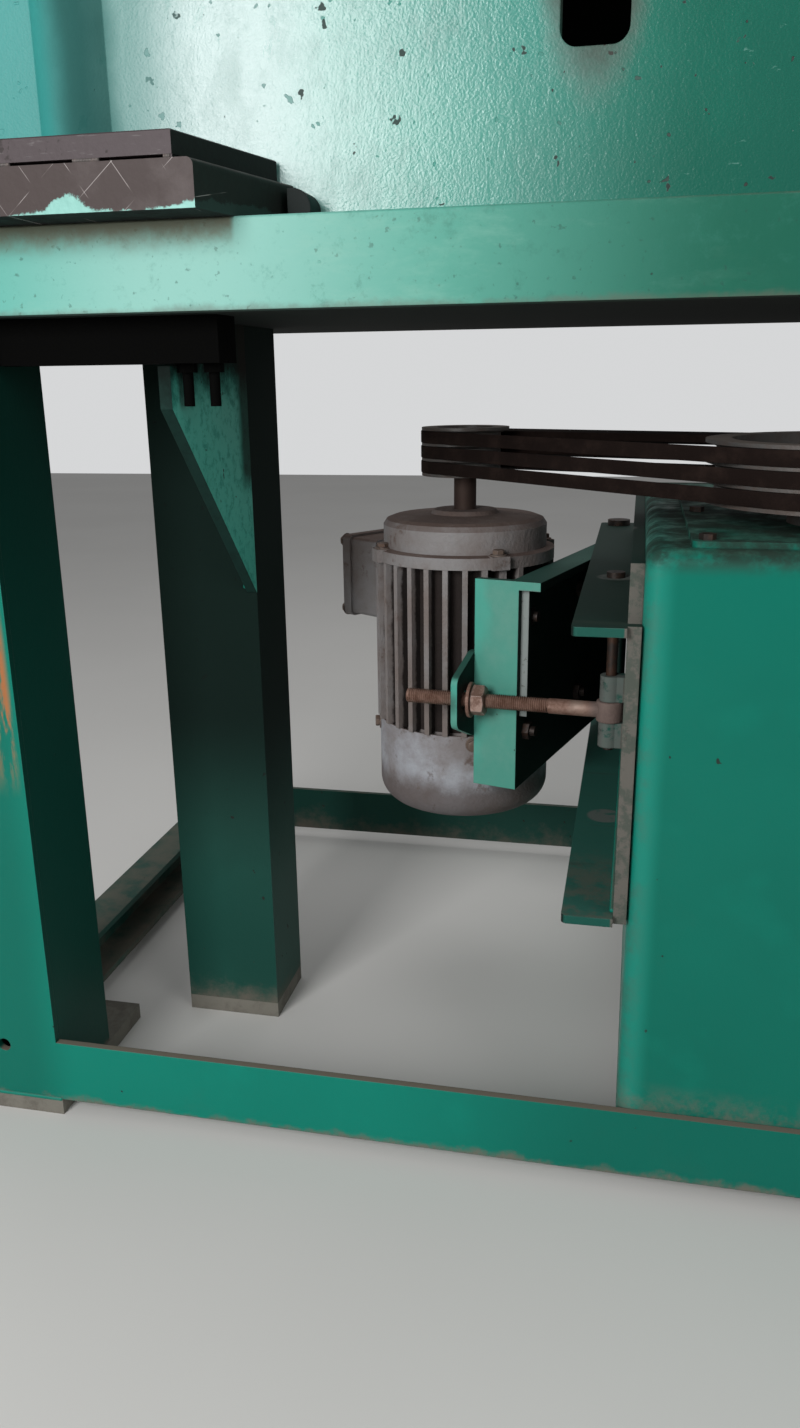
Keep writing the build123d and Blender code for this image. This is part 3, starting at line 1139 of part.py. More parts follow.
def make_drive_shield():
    """The upper end shield: a drum with a lip, lugs and a bearing seat."""
    z0 = MOTOR_BODY_TOP
    z1 = z0 + DRIVE_SHIELD_HEIGHT
    rim = MOTOR_FIN_DIAMETER / 2 - 1
    drum = rim - SHIELD_LIP
    seat = z0 + DRIVE_SHIELD_HEIGHT * 0.35
    profile = [
        (SHAFT_DIAMETER / 2 + 1, seat),
        (BEARING_DIAMETER / 2, seat),
        (BEARING_DIAMETER / 2, z0),
        (rim, z0),
        (rim, z0 + SHIELD_LIP_HEIGHT),
        (drum, z0 + SHIELD_LIP_HEIGHT + 2),
        (drum, z1 - 17),
        (drum - 4, z1 - 11),
        (drum - 12, z1 - 8),
        (BEARING_DIAMETER / 2 + 12, z1 - 5),
        (BEARING_DIAMETER / 2 + 8, z1),
        (SHAFT_DIAMETER / 2 + 1, z1),
    ]
    shield = revolve(Plane.XZ * make_face(Polyline(*profile, close=True)), Axis.Z)
    half = SHIELD_LUG_WIDTH / 2
    for i in range(4):
        lug = local_block(rim - 14, rim + SHIELD_LUG_PROUD, -half, half, z0, z0 + SHIELD_LIP_HEIGHT + 2)
        shield += Rot(0, 0, 45 + 90 * i) * lug
    return motor_solid(shield)


def make_fan_shield():
    z1 = MOTOR_BODY_BOTTOM
    z0 = z1 - FAN_SHIELD_HEIGHT
    shield = ring(MOTOR_BODY_DIAMETER, BEARING_DIAMETER, z1 - 8, z1)
    shield += ring(BEARING_DIAMETER + 16, BEARING_DIAMETER, z0, z1)
    shield += ring(BEARING_DIAMETER + 16, SHAFT_DIAMETER + 2, z0, z0 + 3)
    return motor_solid(shield)


def bearing_spans():
    """The heights of the two bearings, each inside its end shield."""
    upper_top = MOTOR_BODY_TOP + DRIVE_SHIELD_HEIGHT * 0.35
    lower_low = MOTOR_BODY_BOTTOM - FAN_SHIELD_HEIGHT + 3
    return [(upper_top - BEARING_WIDTH, upper_top), (lower_low, lower_low + BEARING_WIDTH)]


def make_bearings():
    outer = BEARING_DIAMETER - 2 * RUNNING_FIT
    inner = SHAFT_DIAMETER + 2 * RUNNING_FIT
    return Compound([motor_solid(ring(outer, inner, z0, z1)) for z0, z1 in bearing_spans()])


def make_cowl():
    """Pressed fan cowl with a rounded edge, vents in its floor and a rim on the housing."""
    z1 = MOTOR_BODY_BOTTOM
    z0 = z1 - COWL_HEIGHT
    radius = MOTOR_FIN_DIAMETER / 2 - 3
    shell = Pos(0, 0, (z0 + z1) / 2) * Cylinder(radius, COWL_HEIGHT)
    shell = fillet(shell.edges().group_by(Axis.Z)[0], COWL_CORNER)
    hollow = Pos(0, 0, (z0 + z1) / 2 + COWL_WALL) * Cylinder(radius - COWL_WALL, COWL_HEIGHT)
    hollow = fillet(hollow.edges().group_by(Axis.Z)[0], COWL_CORNER - COWL_WALL)
    shell -= hollow
    for i in range(COWL_VENTS):
        vent = Pos(radius * 0.5, 0, z0) * Box(radius * 0.42, 9.0, 6 * COWL_WALL)
        shell -= Rot(0, 0, 360 * i / COWL_VENTS) * vent
    return motor_solid(shell)


def make_fan():
    """Radial cooling fan on the shaft's lower end."""
    z1 = MOTOR_BODY_BOTTOM - FAN_SHIELD_HEIGHT - FAN_CLEARANCE
    z0 = z1 - FAN_HEIGHT
    fan = ring(SHAFT_DIAMETER + 24, SHAFT_DIAMETER, z0, z1)
    fan += ring(FAN_DIAMETER, SHAFT_DIAMETER, z1 - FAN_DISC, z1)
    for i in range(FAN_BLADES):
        blade = local_block(SHAFT_DIAMETER / 2 + 8, FAN_DIAMETER / 2, -2, 2, z0, z1)
        fan += Rot(0, 0, 360 * i / FAN_BLADES) * blade
    return motor_solid(fan)


def make_rotor():
    """Shaft with the rotor core; its lower end carries the fan and its upper end the pulley."""
    middle = (MOTOR_BODY_BOTTOM + MOTOR_BODY_TOP) / 2
    low = MOTOR_BODY_BOTTOM - FAN_SHIELD_HEIGHT - FAN_CLEARANCE - FAN_HEIGHT
    rotor = ring(SHAFT_DIAMETER, 0, low, SHAFT_END)
    core = STATOR_BORE - 2 * ROTOR_GAP
    rotor += ring(core, 0, middle - STATOR_LENGTH / 2, middle + STATOR_LENGTH / 2)
    return motor_solid(rotor)


def make_terminal_box():
    """Box and lid on the housing's side, turned away from the belts."""
    start = MOTOR_FIN_DIAMETER / 2 + FACE_GAP
    out = start + TERMINAL_BOX_PROUD
    half = TERMINAL_BOX_WIDTH / 2
    z1 = TERMINAL_BOX_TOP
    z0 = z1 - TERMINAL_BOX_HEIGHT
    lid_start = out - TERMINAL_LID_THICK
    body = local_block(start, lid_start, -half, half, z0, z1)
    body = fillet(body.edges().filter_by(Axis.X), TERMINAL_BOX_CORNER)
    rim = TERMINAL_LID_RIM
    lid = local_block(lid_start, out, -half - rim, half + rim, z0 - rim, z1 + rim)
    lid = fillet(lid.edges().filter_by(Axis.X), TERMINAL_BOX_CORNER + 2)
    return motor_solid(Rot(0, 0, TERMINAL_BOX_TURN - 180) * (body + lid))


def make_cable_gland():
    """The empty gland under the terminal box."""
    z0 = TERMINAL_BOX_TOP - TERMINAL_BOX_HEIGHT
    middle = MOTOR_FIN_DIAMETER / 2 + (TERMINAL_BOX_PROUD - TERMINAL_LID_THICK) / 2
    hexagon = Pos(middle, 0, z0 - 8) * hex_head(CABLE_GLAND_DIAMETER, 8.0)
    dome = Pos(middle, 0, z0 - 16) * Cylinder(CABLE_GLAND_DIAMETER * 0.42, 16.0)
    gland = hexagon + dome - Pos(middle, 0, z0 - 16) * Cylinder(CABLE_GLAND_DIAMETER * 0.22, 40.0)
    return motor_solid(Rot(0, 0, TERMINAL_BOX_TURN - 180) * gland)


def make_foot_bolts():
    """Bolts through the motor's feet and the bracket's web, with a nut behind the web."""
    bolts = []
    head_height = FOOT_BOLT_DIAMETER * HEX_HEIGHT_RATIO
    across = FOOT_BOLT_DIAMETER * HEX_WIDTH_RATIO
    length = MOTOR_FOOT_THICK + BRACKET_PLATE + FOOT_BOLT_TAIL
    for u, z in foot_places():
        shank = Cylinder(FOOT_BOLT_DIAMETER / 2, length, rotation=(90, 0, 0))
        shank = Pos(u, -MOTOR_FOOT_THICK + length / 2, z) * shank
        head = Pos(u, -MOTOR_FOOT_THICK, z) * Rot(90, 0, 0) * hex_head(across, head_height)
        nut = Pos(u, BRACKET_PLATE + head_height, z) * Rot(90, 0, 0) * hex_head(across, head_height)
        bolts.append(BRACKET_PLACE * (shank + head + nut))
    return Compound(bolts)


# Pulleys and belts
def groove_profile(radius, index, clearance):
    """One V groove, or one belt, as a closed outline in radius and height."""
    z = PULLEY_BOTTOM + PULLEY_EDGE + index * BELT_PITCH
    slope = math.tan(math.radians(BELT_FLANK))
    top_radius = radius + BELT_PROUD
    low_radius = top_radius - BELT_HEIGHT
    half_top = BELT_TOP_WIDTH / 2
    half_low = half_top - BELT_HEIGHT * slope
    grow = clearance / math.cos(math.radians(BELT_FLANK))
    if clearance > 0:
        extra = 3.0
        low_radius -= clearance + 1.0
        half_low = half_top - (top_radius - low_radius) * slope
        return [
            (low_radius, z - half_low - grow), (low_radius, z + half_low + grow),
            (top_radius + extra, z + half_top + extra * slope + grow),
            (top_radius + extra, z - half_top - extra * slope - grow),
        ]
    return [
        (low_radius, z - half_low), (low_radius, z + half_low),
        (top_radius, z + half_top), (top_radius, z - half_top),
    ]


def grooved_rim(radius):
    """A disc as high as the pulley with one V groove for each belt."""
    z1 = PULLEY_BOTTOM + PULLEY_HEIGHT
    rim = ring(2 * radius, 0, PULLEY_BOTTOM, z1)
    for i in range(BELT_COUNT):
        outline = make_face(Polyline(*groove_profile(radius, i, BELT_CLEARANCE), close=True))
        rim -= revolve(Plane.XZ * outline, Axis.Z)
    return rim


def make_motor_pulley():
    pulley = grooved_rim(MOTOR_PULLEY_RADIUS)
    pulley -= ring(SHAFT_DIAMETER, 0, PULLEY_BOTTOM - 1, SHAFT_END)
    recess = MOTOR_PULLEY_RADIUS - BELT_HEIGHT - 9
    pulley -= ring(2 * recess, 0, SHAFT_END, PULLEY_BOTTOM + PULLEY_HEIGHT + 1)
    return motor_solid(pulley)


def make_driven_pulley():
    """A large pulley with a dished web and lightening holes."""
    z0 = PULLEY_BOTTOM
    z1 = z0 + PULLEY_HEIGHT
    middle = (z0 + z1) / 2
    inner = DRIVEN_PULLEY_RADIUS - DRIVEN_PULLEY_RIM
    hub = PUMP_SHAFT_DIAMETER / 2 + HUB_WALL
    pulley = grooved_rim(DRIVEN_PULLEY_RADIUS)
    half_web = DRIVEN_PULLEY_WEB / 2
    pulley -= ring(2 * inner, 2 * hub, z0 - 1, middle - half_web)
    pulley -= ring(2 * inner, 2 * hub, middle + half_web, z1 + 1)
    spoke_radius = (inner + hub) / 2
    for i in range(DRIVEN_PULLEY_HOLES):
        hole = Pos(spoke_radius, 0, middle) * Cylinder((inner - hub) * 0.32, 2 * DRIVEN_PULLEY_WEB)
        pulley -= Rot(0, 0, 360 * i / DRIVEN_PULLEY_HOLES) * hole
    pulley -= ring(PUMP_SHAFT_DIAMETER, 0, z0 - 1, z1 + 1)
    return Pos(PUMP_X, depth(PUMP_DEPTH), 0) * pulley


def make_pump_shaft():
    low = LID_TOP - PUMP_SHAFT_SINK
    return upright(PUMP_X, PUMP_DEPTH, low, PULLEY_BOTTOM + PULLEY_HEIGHT + 4, PUMP_SHAFT_DIAMETER)


def belt_route(height):
    """The belts' closed path round both pulleys at one height."""
    small = motor_solid(Pos(0, 0, height)).position
    large = Vector(PUMP_X, depth(PUMP_DEPTH), height)
    between = large - small
    heading = math.degrees(math.atan2(between.Y, between.X))
    lean = math.degrees(math.asin((DRIVEN_PULLEY_RADIUS - MOTOR_PULLEY_RADIUS) / between.length))

    def rim_point(centre, radius, angle):
        turn = math.radians(angle)
        return centre + Vector(radius * math.cos(turn), radius * math.sin(turn), 0)

    up = heading + 90 + lean
    down = heading - 90 - lean
    a = rim_point(small, MOTOR_PULLEY_RADIUS, up)
    b = rim_point(large, DRIVEN_PULLEY_RADIUS, up)
    c = rim_point(large, DRIVEN_PULLEY_RADIUS, down)
    d = rim_point(small, MOTOR_PULLEY_RADIUS, down)
    far = rim_point(large, DRIVEN_PULLEY_RADIUS, heading)
    near = rim_point(small, MOTOR_PULLEY_RADIUS, heading + 180)
    return Wire([Line(a, b), ThreePointArc(b, far, c), Line(c, d), ThreePointArc(d, near, a)])


def make_belts():
    """V belts, each one closed loop of a tapered section."""
    belts = []
    for i in range(BELT_COUNT):
        z = PULLEY_BOTTOM + PULLEY_EDGE + i * BELT_PITCH
        route = belt_route(z)
        start = route @ 0
        along = (route % 0).normalized()
        outward = along.cross(Vector(0, 0, 1)).normalized()
        small = motor_solid(Pos(0, 0, z)).position
        if outward.dot(start - small) < 0:
            outward = outward * -1
        plane = Plane(origin=start, x_dir=outward, z_dir=along)
        upward = plane.y_dir.Z
        profile = groove_profile(MOTOR_PULLEY_RADIUS, i, 0)
        section = [(r - MOTOR_PULLEY_RADIUS, (h - z) * upward) for r, h in profile]
        belts.append(sweep(plane * make_face(Polyline(*section, close=True)), path=route))
    return Compound(belts)


# Belt tightener
def rod_direction():
    turn = math.radians(ROD_YAW)
    return Vector(-math.cos(turn), math.sin(turn), 0)


def along_rod(distance):
    """A place on the rod's axis with its local Z along the rod, away from the eye."""
    origin = Vector(EYE_X, depth(EYE_DEPTH), ROD_HEIGHT) + rod_direction() * distance
    return Plane(origin=origin, z_dir=rod_direction(), x_dir=(0, 0, 1)).location


def make_eye_bolt():
    """Threaded rod with a flat-sided eye that turns on the upright pin."""
    start = EYE_DIAMETER / 2 - 3
    rod = along_rod(start) * extrude(Circle(EYE_BOLT_DIAMETER / 2), EYE_BOLT_LENGTH - start)
    centre = Pos(EYE_X, depth(EYE_DEPTH), ROD_HEIGHT)
    bolt = rod + centre * Cylinder(EYE_DIAMETER / 2, EYE_THICK)
    end = bolt.edges().filter_by(GeomType.CIRCLE).sort_by(Axis.X)[0]
    bolt = chamfer(end, EYE_BOLT_CHAMFER)
    return bolt - centre * Cylinder(EYE_PIN_DIAMETER / 2 + RUNNING_FIT, EYE_THICK + 2)


def nut_distance():
    """How far along the rod the washer's face stands against the bracket's ear."""
    meet = BRACKET_PLACE * Pos(ear_hole())
    eye = Vector(EYE_X, depth(EYE_DEPTH), ROD_HEIGHT)
    lean = math.radians(90 - ROD_YAW - (90 - BRACKET_YAW))
    half_ear = PULL_EAR_THICK / 2 / math.cos(lean)
    tilt = WASHER_DIAMETER / 2 * abs(math.tan(lean))
    return (meet.position - eye).length - half_ear - tilt - WASHER_GAP


def make_washer():
    top = nut_distance()
    washer = extrude(Circle(WASHER_DIAMETER / 2) - Circle(EYE_BOLT_DIAMETER / 2 + THREAD_GAP), WASHER_THICK)
    return along_rod(top - WASHER_THICK) * washer


def make_nut():
    top = nut_distance() - WASHER_THICK
    bore = extrude(Circle(EYE_BOLT_DIAMETER / 2 + THREAD_GAP), NUT_HEIGHT)
    return along_rod(top - NUT_HEIGHT) * (hex_head(NUT_ACROSS_FLATS, NUT_HEIGHT) - bore)


NODES = {
    "front_frame": make_front_frame,
    "left_front_post": lambda: make_front_post(-1),
    "right_front_post": lambda: make_front_post(1),
    "left_rear_post": lambda: make_rear_post(-1),
    "right_rear_post": lambda: make_rear_post(1),
    "left_base_rail": lambda: make_side_rail(-1),
    "right_base_rail": lambda: make_side_rail(1),
    "rear_base_rail": make_rear_rail,
    "tank_bearers": make_tank_bearers,
    "foot_pads": make_foot_pads,
    "bed_slab": make_bed,
    "bed_gusset": make_bed_gusset,
    "clamp_beam": make_clamp_beam,
    "clamp_bolts": make_clamp_bolts,
    "block_body": make_block_body,
    "block_plate": make_block_plate,
    "block_stop": make_block_stop,
    "front_wall": make_front_wall,
    "rear_wall": make_rear_wall,
    "body_cover": make_body_cover,
    "head_bracket": make_head_bracket,
    "cylinder_barrel": make_cylinder,
    "cylinder_gland": make_gland,
    "hex_bolts": make_hex_bolts,
    "cylinder_pipes": make_cylinder_pipes,
    "tank_pipes": make_tank_pipes,
    "valve_block": make_valve,
    "gauge_case": make_gauge,
    "oil_tank": make_tank,
    "tank_lid": make_tank_lid,
    "pump_body": make_pump,
    "suction_strainer": make_strainer,
    "hinge_plate": make_hinge_plate,
    "hinge_pin": make_hinge_pin,
    "eye_pin": make_eye_pin,
    "v_belts": make_belts,
    "piston_rod": make_piston_rod,
    "tool_plate": make_tool_plate,
    "motor_bracket": make_motor_bracket,
    "motor_body": make_motor_body,
    "stator_core": make_stator,
    "drive_end_shield": make_drive_shield,
    "fan_end_shield": make_fan_shield,
    "motor_bearings": make_bearings,
    "fan_cowl": make_cowl,
    "terminal_box": make_terminal_box,
    "cable_gland": make_cable_gland,
    "foot_bolts": make_foot_bolts,
    "rotor_shaft": make_rotor,
    "cooling_fan": make_fan,
    "motor_pulley": make_motor_pulley,
    "eye_bolt": make_eye_bolt,
    "lock_washer": make_washer,
    "tension_nut": make_nut,
    "pump_shaft": make_pump_shaft,
    "driven_pulley": make_driven_pulley,
    "valve_lever": make_valve_lever,
    "gauge_needle": make_needle,
    "filler_cap": make_filler_cap,
}

os.makedirs("parts", exist_ok=True)
for name, make in NODES.items():
    export_step(make(), f"parts/{name}.step")
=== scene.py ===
"""Looks of a hydraulic press: finishes for its CAD nodes and the fine pieces that CAD leaves out."""

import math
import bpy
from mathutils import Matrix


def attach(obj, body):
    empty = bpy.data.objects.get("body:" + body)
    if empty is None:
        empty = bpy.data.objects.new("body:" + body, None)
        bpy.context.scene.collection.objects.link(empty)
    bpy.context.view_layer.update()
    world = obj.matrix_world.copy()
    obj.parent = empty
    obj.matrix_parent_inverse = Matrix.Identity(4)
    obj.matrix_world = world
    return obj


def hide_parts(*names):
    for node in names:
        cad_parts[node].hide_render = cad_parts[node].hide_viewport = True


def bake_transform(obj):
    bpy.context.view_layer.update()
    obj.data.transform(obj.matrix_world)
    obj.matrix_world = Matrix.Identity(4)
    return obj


bl_info = {
    "name": "Hydraulic press looks",
    "version": (1, 0, 0),
    "blender": (4, 5, 0),
    "location": "3D View > Sidebar > Press",
    "description": "Paints the packed press, adds its fine pieces and sets up the studio",
    "category": "Object",
}

from functools import reduce

import bmesh
import bpy
from bpy.props import FloatProperty, FloatVectorProperty, IntProperty, PointerProperty
from mathutils import Matrix, Vector

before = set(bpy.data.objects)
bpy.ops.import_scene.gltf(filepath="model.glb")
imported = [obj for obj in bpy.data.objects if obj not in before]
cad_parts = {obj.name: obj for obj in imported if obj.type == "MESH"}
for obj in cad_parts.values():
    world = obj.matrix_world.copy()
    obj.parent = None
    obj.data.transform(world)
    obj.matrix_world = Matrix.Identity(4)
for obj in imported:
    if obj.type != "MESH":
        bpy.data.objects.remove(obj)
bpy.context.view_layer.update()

PHOTO_LONG_SIDE = 36.0

# The mask of what faces up, told as Finish.mask reads it
TOPS = ("nZ", 0.5, 0.9)

# Places from the CAD model, in metres
MOTOR_AXIS = (-0.1381, 0.0574)
PUMP_AXIS = (0.275, -0.213)
MOTOR_BELT_RADIUS = 0.055
PUMP_BELT_RADIUS = 0.141
BELT_HEIGHTS = (0.687, 0.705, 0.723)
BELT_WIDTH = 0.015
BELT_DEPTH = 0.010
BELT_TAPER = 0.567
EYE = Vector((0.0555, -0.1201, 0.431))
ROD_WAY = Vector((-math.cos(math.radians(5.7)), math.sin(math.radians(5.7)), 0.0))
SLOT_MIDDLE = (0.020, 1.130)
UP = Vector((0.0, 0.0, 1.0))
ROD_TURN = Matrix((UP.cross(ROD_WAY), UP, ROD_WAY)).transposed().to_euler()
ROD_LENGTH = 0.239
ROD_MEETS_EAR = EYE + ROD_WAY * 0.175
NUT_FACE = 0.1631
MOTOR_TURN = math.radians(-105.0)
SHIELD_LIP_TOP = 0.590
GAUGE_CENTRE = Vector((0.270, -0.292, 1.240))
PIPE_JOINTS = (
    ((-0.371, -0.353, 1.3995), "X"), ((-0.371, -0.353, 1.6605), "X"),
    ((0.400, -0.318, 1.311), "Z"), ((0.442, -0.318, 1.311), "Z"),
    ((0.400, -0.318, 1.169), "Z"), ((0.442, -0.318, 1.169), "Z"),
)

# Places and sizes of the fine pieces, in metres
WASHER_RADIUS = 0.021
WASHER_DEPTH = 0.004
EYE_RADIUS = 0.015
SHANK_START = 0.010
TIP_LENGTH = 0.012
BLOCK_SEAM_FRONT = -0.4284
BLOCK_SEAM_HEIGHT = 0.96125
BLOCK_SEAM_RADIUS = 0.0021
# Both ends in X and the seed of each bead
BLOCK_SEAMS = (
    (-0.3815, -0.3605, 0), (-0.4605, -0.4395, 1), (-0.5395, -0.5185, 2), (-0.3035, -0.2990, 9),
)
# Both ends and the radius of each bead
FRAME_SEAMS = (
    ((-0.3605, -0.1445, 0.5650), (-0.3605, -0.1445, 0.8450), 0.0030),
    ((-0.3610, -0.2950, 0.8465), (-0.3610, -0.1450, 0.8465), 0.0030),
    ((0.0705, -0.3600, 0.5732), (0.0705, 0.3450, 0.5732), 0.0026),
    ((0.0705, -0.3600, 0.3040), (0.0705, 0.3450, 0.3040), 0.0026),
    ((0.0850, -0.3560, 0.2935), (0.0850, 0.2500, 0.2935), 0.0026),
    ((-0.6440, -0.3775, 0.0200), (-0.5260, -0.3775, 0.0200), 0.0024),
    ((0.5260, -0.3775, 0.0200), (0.6440, -0.3775, 0.0200), 0.0024),
)
FRAME_SEAM_SEED = 20
SHIELD_SCREW_REACH = 0.1095
COWL_SCREW_REACH = 0.1108
COWL_SCREW_HEIGHT = 0.357
LID_TURN = MOTOR_TURN + math.radians(-108.0)
LID_SCREW_REACH = 0.1763
LID_SCREWS_ACROSS = (-0.042, 0.042)
LID_SCREW_HEIGHTS = (0.490, 0.582)
DIAL_RADIUS = 0.0466
DIAL_START = 225.0
DIAL_SWEEP = 270.0
DIVISIONS = 25
MARKS_RADIUS = 0.0445
FIGURES_RADIUS = 0.0315
BEZEL_RADIUS = 0.0518
GLASS_RADIUS = 0.0455
FRONTWARDS = (math.pi / 2.0, 0.0, 0.0)


def colour(name, text, value):
    """A colour setting with its default in linear light."""
    return FloatVectorProperty(
        name=name, description=text, subtype="COLOR", size=3, min=0.0, max=1.0, default=value
    )


def length(name, text, value):
    """A length setting in metres."""
    return FloatProperty(
        name=name, description=text, default=value, min=0.0, unit="LENGTH", subtype="DISTANCE"
    )


class PressPaint(bpy.types.PropertyGroup):
    """Colours of the enamel and of what lies on it."""

    frame_green: colour("Frame green", "Enamel of the front plate, posts and rail", (0.0010, 0.188, 0.135))
    tank_green: colour("Tank green", "Enamel of the oil tank", (0.0010, 0.145, 0.102))
    bed_green: colour("Bed green", "Enamel along the bed's edge", (0.008, 0.110, 0.070))
    wall_green: colour("Wall green", "Enamel of the upright wall", (0.003, 0.120, 0.080))
    # Its dark default is old dirty enamel and partly painted shade, for the shade under the bed
    dull_shaded_green: colour("Dull green", "Old enamel under the bed", (0.008, 0.060, 0.045))
    primer: colour("Primer", "Dark steel that chips lay bare", (0.020, 0.018, 0.016))
    dust: colour("Dust", "Dry dust on ledges", (0.150, 0.120, 0.098))
    rust: colour("Rust", "Brown rust", (0.180, 0.070, 0.030))


class PressMetal(bpy.types.PropertyGroup):
    """Colours of bare metal, castings and rubber."""

    motor_grey: colour("Motor grey", "Old grey enamel of the motor", (0.225, 0.215, 0.215))
    cowl_grey: colour("Cowl grey", "Cool grey of the fan cowl", (0.390, 0.410, 0.450))
    plate_steel: colour("Plate steel", "Handled steel of the block", (0.058, 0.045, 0.048))
    rod_steel: colour("Rod steel", "Rusty steel of the tightening rod", (0.250, 0.150, 0.115))
    casting: colour("Casting", "Turned cast iron", (0.105, 0.100, 0.096))
    rubber: colour("Rubber", "Belts", (0.010, 0.006, 0.005))


class PressThread(bpy.types.PropertyGroup):
    """Sizes of the tightening rod's thread and nut."""

    pitch: length("Pitch", "Distance from one thread to the next", 0.0025)
    crest: length("Crest radius", "Outer radius of the thread", 0.0089)
    root: length("Root radius", "Inner radius of the thread", 0.0076)
    plain: length("Plain shank", "Length of the unthreaded rod, from the eye's centre", 0.070)
    sides: IntProperty(name="Sides", description="Flats round one turn of thread", default=24, min=8)
    nut_width: length("Nut width", "Across the flats", 0.032)
    nut_height: length("Nut height", "Along the rod", 0.016)


class PressStudio(bpy.types.PropertyGroup):
    """Camera and lamps."""

    lens: FloatProperty(name="Lens", description="Focal length for a 36 mm long side", default=27.45)
    eye: FloatVectorProperty(
        name="Eye", description="Camera's place", subtype="XYZ", unit="LENGTH",
        default=(0.075, -1.318, 0.7913),
    )
    turn: FloatVectorProperty(
        name="Turn", description="Camera's rotation", subtype="EULER", unit="ROTATION",
        default=(math.radians(72.889), math.radians(0.673), math.radians(12.113)),
    )
    key_watts: FloatProperty(name="Key", description="Power of the key lamp in watts", default=60.0)
    fill_watts: FloatProperty(name="Fill", description="Power of each fill lamp in watts", default=20.0)
    sky: FloatProperty(name="Sky", description="Strength of the world's light", default=0.30)
    backdrop: FloatProperty(name="Backdrop", description="How bright the world looks", default=0.72)


class Finish:
    """One material in the making. Its patterns read Object coordinates, in metres."""

    def __init__(self, name, base, rough, metal=0.0, coat=0.0, shine=0.5):
        self.material = bpy.data.materials.new(name)
        self.material.use_nodes = True
        self.tree = self.material.node_tree
        self.shader = self.tree.nodes["Principled BSDF"]
        self.shader.inputs["Metallic"].default_value = metal
        self.shader.inputs["Coat Weight"].default_value = coat
        self.shader.inputs["Specular IOR Level"].default_value = shine
        self.place = self.node("TexCoord", {}, "Object")
        self.parts = self.split(self.place)
        self.facing = self.split(self.node("TexCoord", {}, "Normal"))
        self.colour = (*base, 1.0)
        self.rough = rough
        self.relief = None

    def put(self, socket, value):
        """Links a socket or sets a plain value."""
        if isinstance(value, bpy.types.NodeSocket):
            self.tree.links.new(value, socket)
        else:
            socket.default_value = value

    def node(self, kind, inputs, output=0, **settings):
        """One output of a new node, or all of them where output is None."""
        node = self.tree.nodes.new("ShaderNode" + kind)
        for key, value in settings.items():
            setattr(node, key, value)
        for key, value in inputs.items():
            self.put(node.inputs[key], value)
        return node.outputs if output is None else node.outputs[output]

    def split(self, vector):
        """X, Y and Z of a vector."""
        return self.node("SeparateXYZ", {0: vector}, None)

    def math(self, operation, first, second=0.0):
        """Arithmetic on patterns or numbers."""
        return self.node("Math", {0: first, 1: second}, operation=operation)

    def noise(self, scale, detail=3.0, stretch=None, ragged=0.5):
        """Soft noise with so many lumps a metre, which may be stretched along X, Y and Z."""
        place = self.node("Mapping", {"Vector": self.place, "Scale": stretch}) if stretch else self.place
        return self.node("TexNoise", {"Vector": place, "Scale": scale, "Detail": detail, "Roughness": ragged})

    def step(self, value, low, high):
        """0 below low and 1 above high; with high under low it falls instead."""
        falls = high < low
        inputs = {
            "Value": value, "From Min": min(low, high), "From Max": max(low, high),
            "To Min": 1.0 if falls else 0.0, "To Max": 0.0 if falls else 1.0,
        }
        return self.node("MapRange", inputs, interpolation_type="SMOOTHSTEP")

    def lumps(self, scale, low, high, detail=8.0, ragged=0.7, stretch=None):
        """The noise's lumps, which begin at low and are full at high."""
        return self.step(self.noise(scale, detail, stretch, ragged), low, high)

    def mask(self, told):
        """A mask from how it is told. ("Z", low, high) is a step on the height and ("nZ", low, high) one on
        how far the surface faces up, with X and Y alike. A tuple of numbers is lumps, and a list is where
        all of its masks are."""
        if isinstance(told, list):
            return self.both(*told)
        if not isinstance(told, tuple):
            return told
        if not isinstance(told[0], str):
            return self.lumps(*told)
        axis, low, high = told
        return self.step((self.facing if axis[0] == "n" else self.parts)[axis[-1]], low, high)

    def both(self, *masks):
        """Where all masks are; with a number, so much of a mask."""
        sockets = [self.mask(told) for told in masks]
        return reduce(lambda first, second: self.math("MULTIPLY", first, second), sockets)

    def plus(self, *values):
        """The sum of patterns or numbers."""
        return reduce(lambda first, second: self.math("ADD", first, second), values)

    def distance(self, centre, axes="XYZ"):
        """Distance from a point, or from a line where an axis is left out."""
        gaps = [self.math("SUBTRACT", self.parts[axis], value) for axis, value in zip(axes, centre)]
        return self.math("SQRT", self.plus(*(self.both(gap, gap) for gap in gaps)))

    def cover(self, mask, tint, amount=1.0, rough=None):
        """Lays a tint, and a roughness, over what is there."""
        share = self.both(mask, amount) if amount < 1.0 else self.mask(mask)
        inputs = {0: share, 6: self.colour, 7: (*tint, 1.0)}
        self.colour = self.node("Mix", inputs, 2, data_type="RGBA")
        if rough is not None:
            self.rough = self.node("Mix", {0: share, 2: self.rough, 3: rough})

    def level(self, scale, reach, low, high):
        """A step on the height above the floor, with an uneven brink that wanders by the reach."""
        wander = self.both(self.noise(scale, 8.0, ragged=0.72), reach)
        return self.step(self.plus(self.parts["Z"], wander), low, high)

    def edges(self, radius=0.0015, keen=0.93):
        """A mask of the sharp edges, which are softened in the shading too."""
        self.relief = self.node("Bevel", {"Radius": radius}, samples=4)
        flat = self.node("NewGeometry", {}, "Normal")
        match = self.node("VectorMath", {0: self.relief, 1: flat}, "Value", operation="DOT_PRODUCT")
        return self.step(match, 1.0, keen)

    def emboss(self, height, depth):
        """Raises the surface by a height pattern, depth in metres."""
        inputs = {"Height": height, "Distance": depth}
        if self.relief:
            inputs["Normal"] = self.relief
        self.relief = self.node("Bump", inputs)

    def grain(self, scale, depth, detail, stretch=None, ragged=0.5):
        """Raises the surface by noise."""
        self.emboss(self.noise(scale, detail, stretch, ragged), depth)

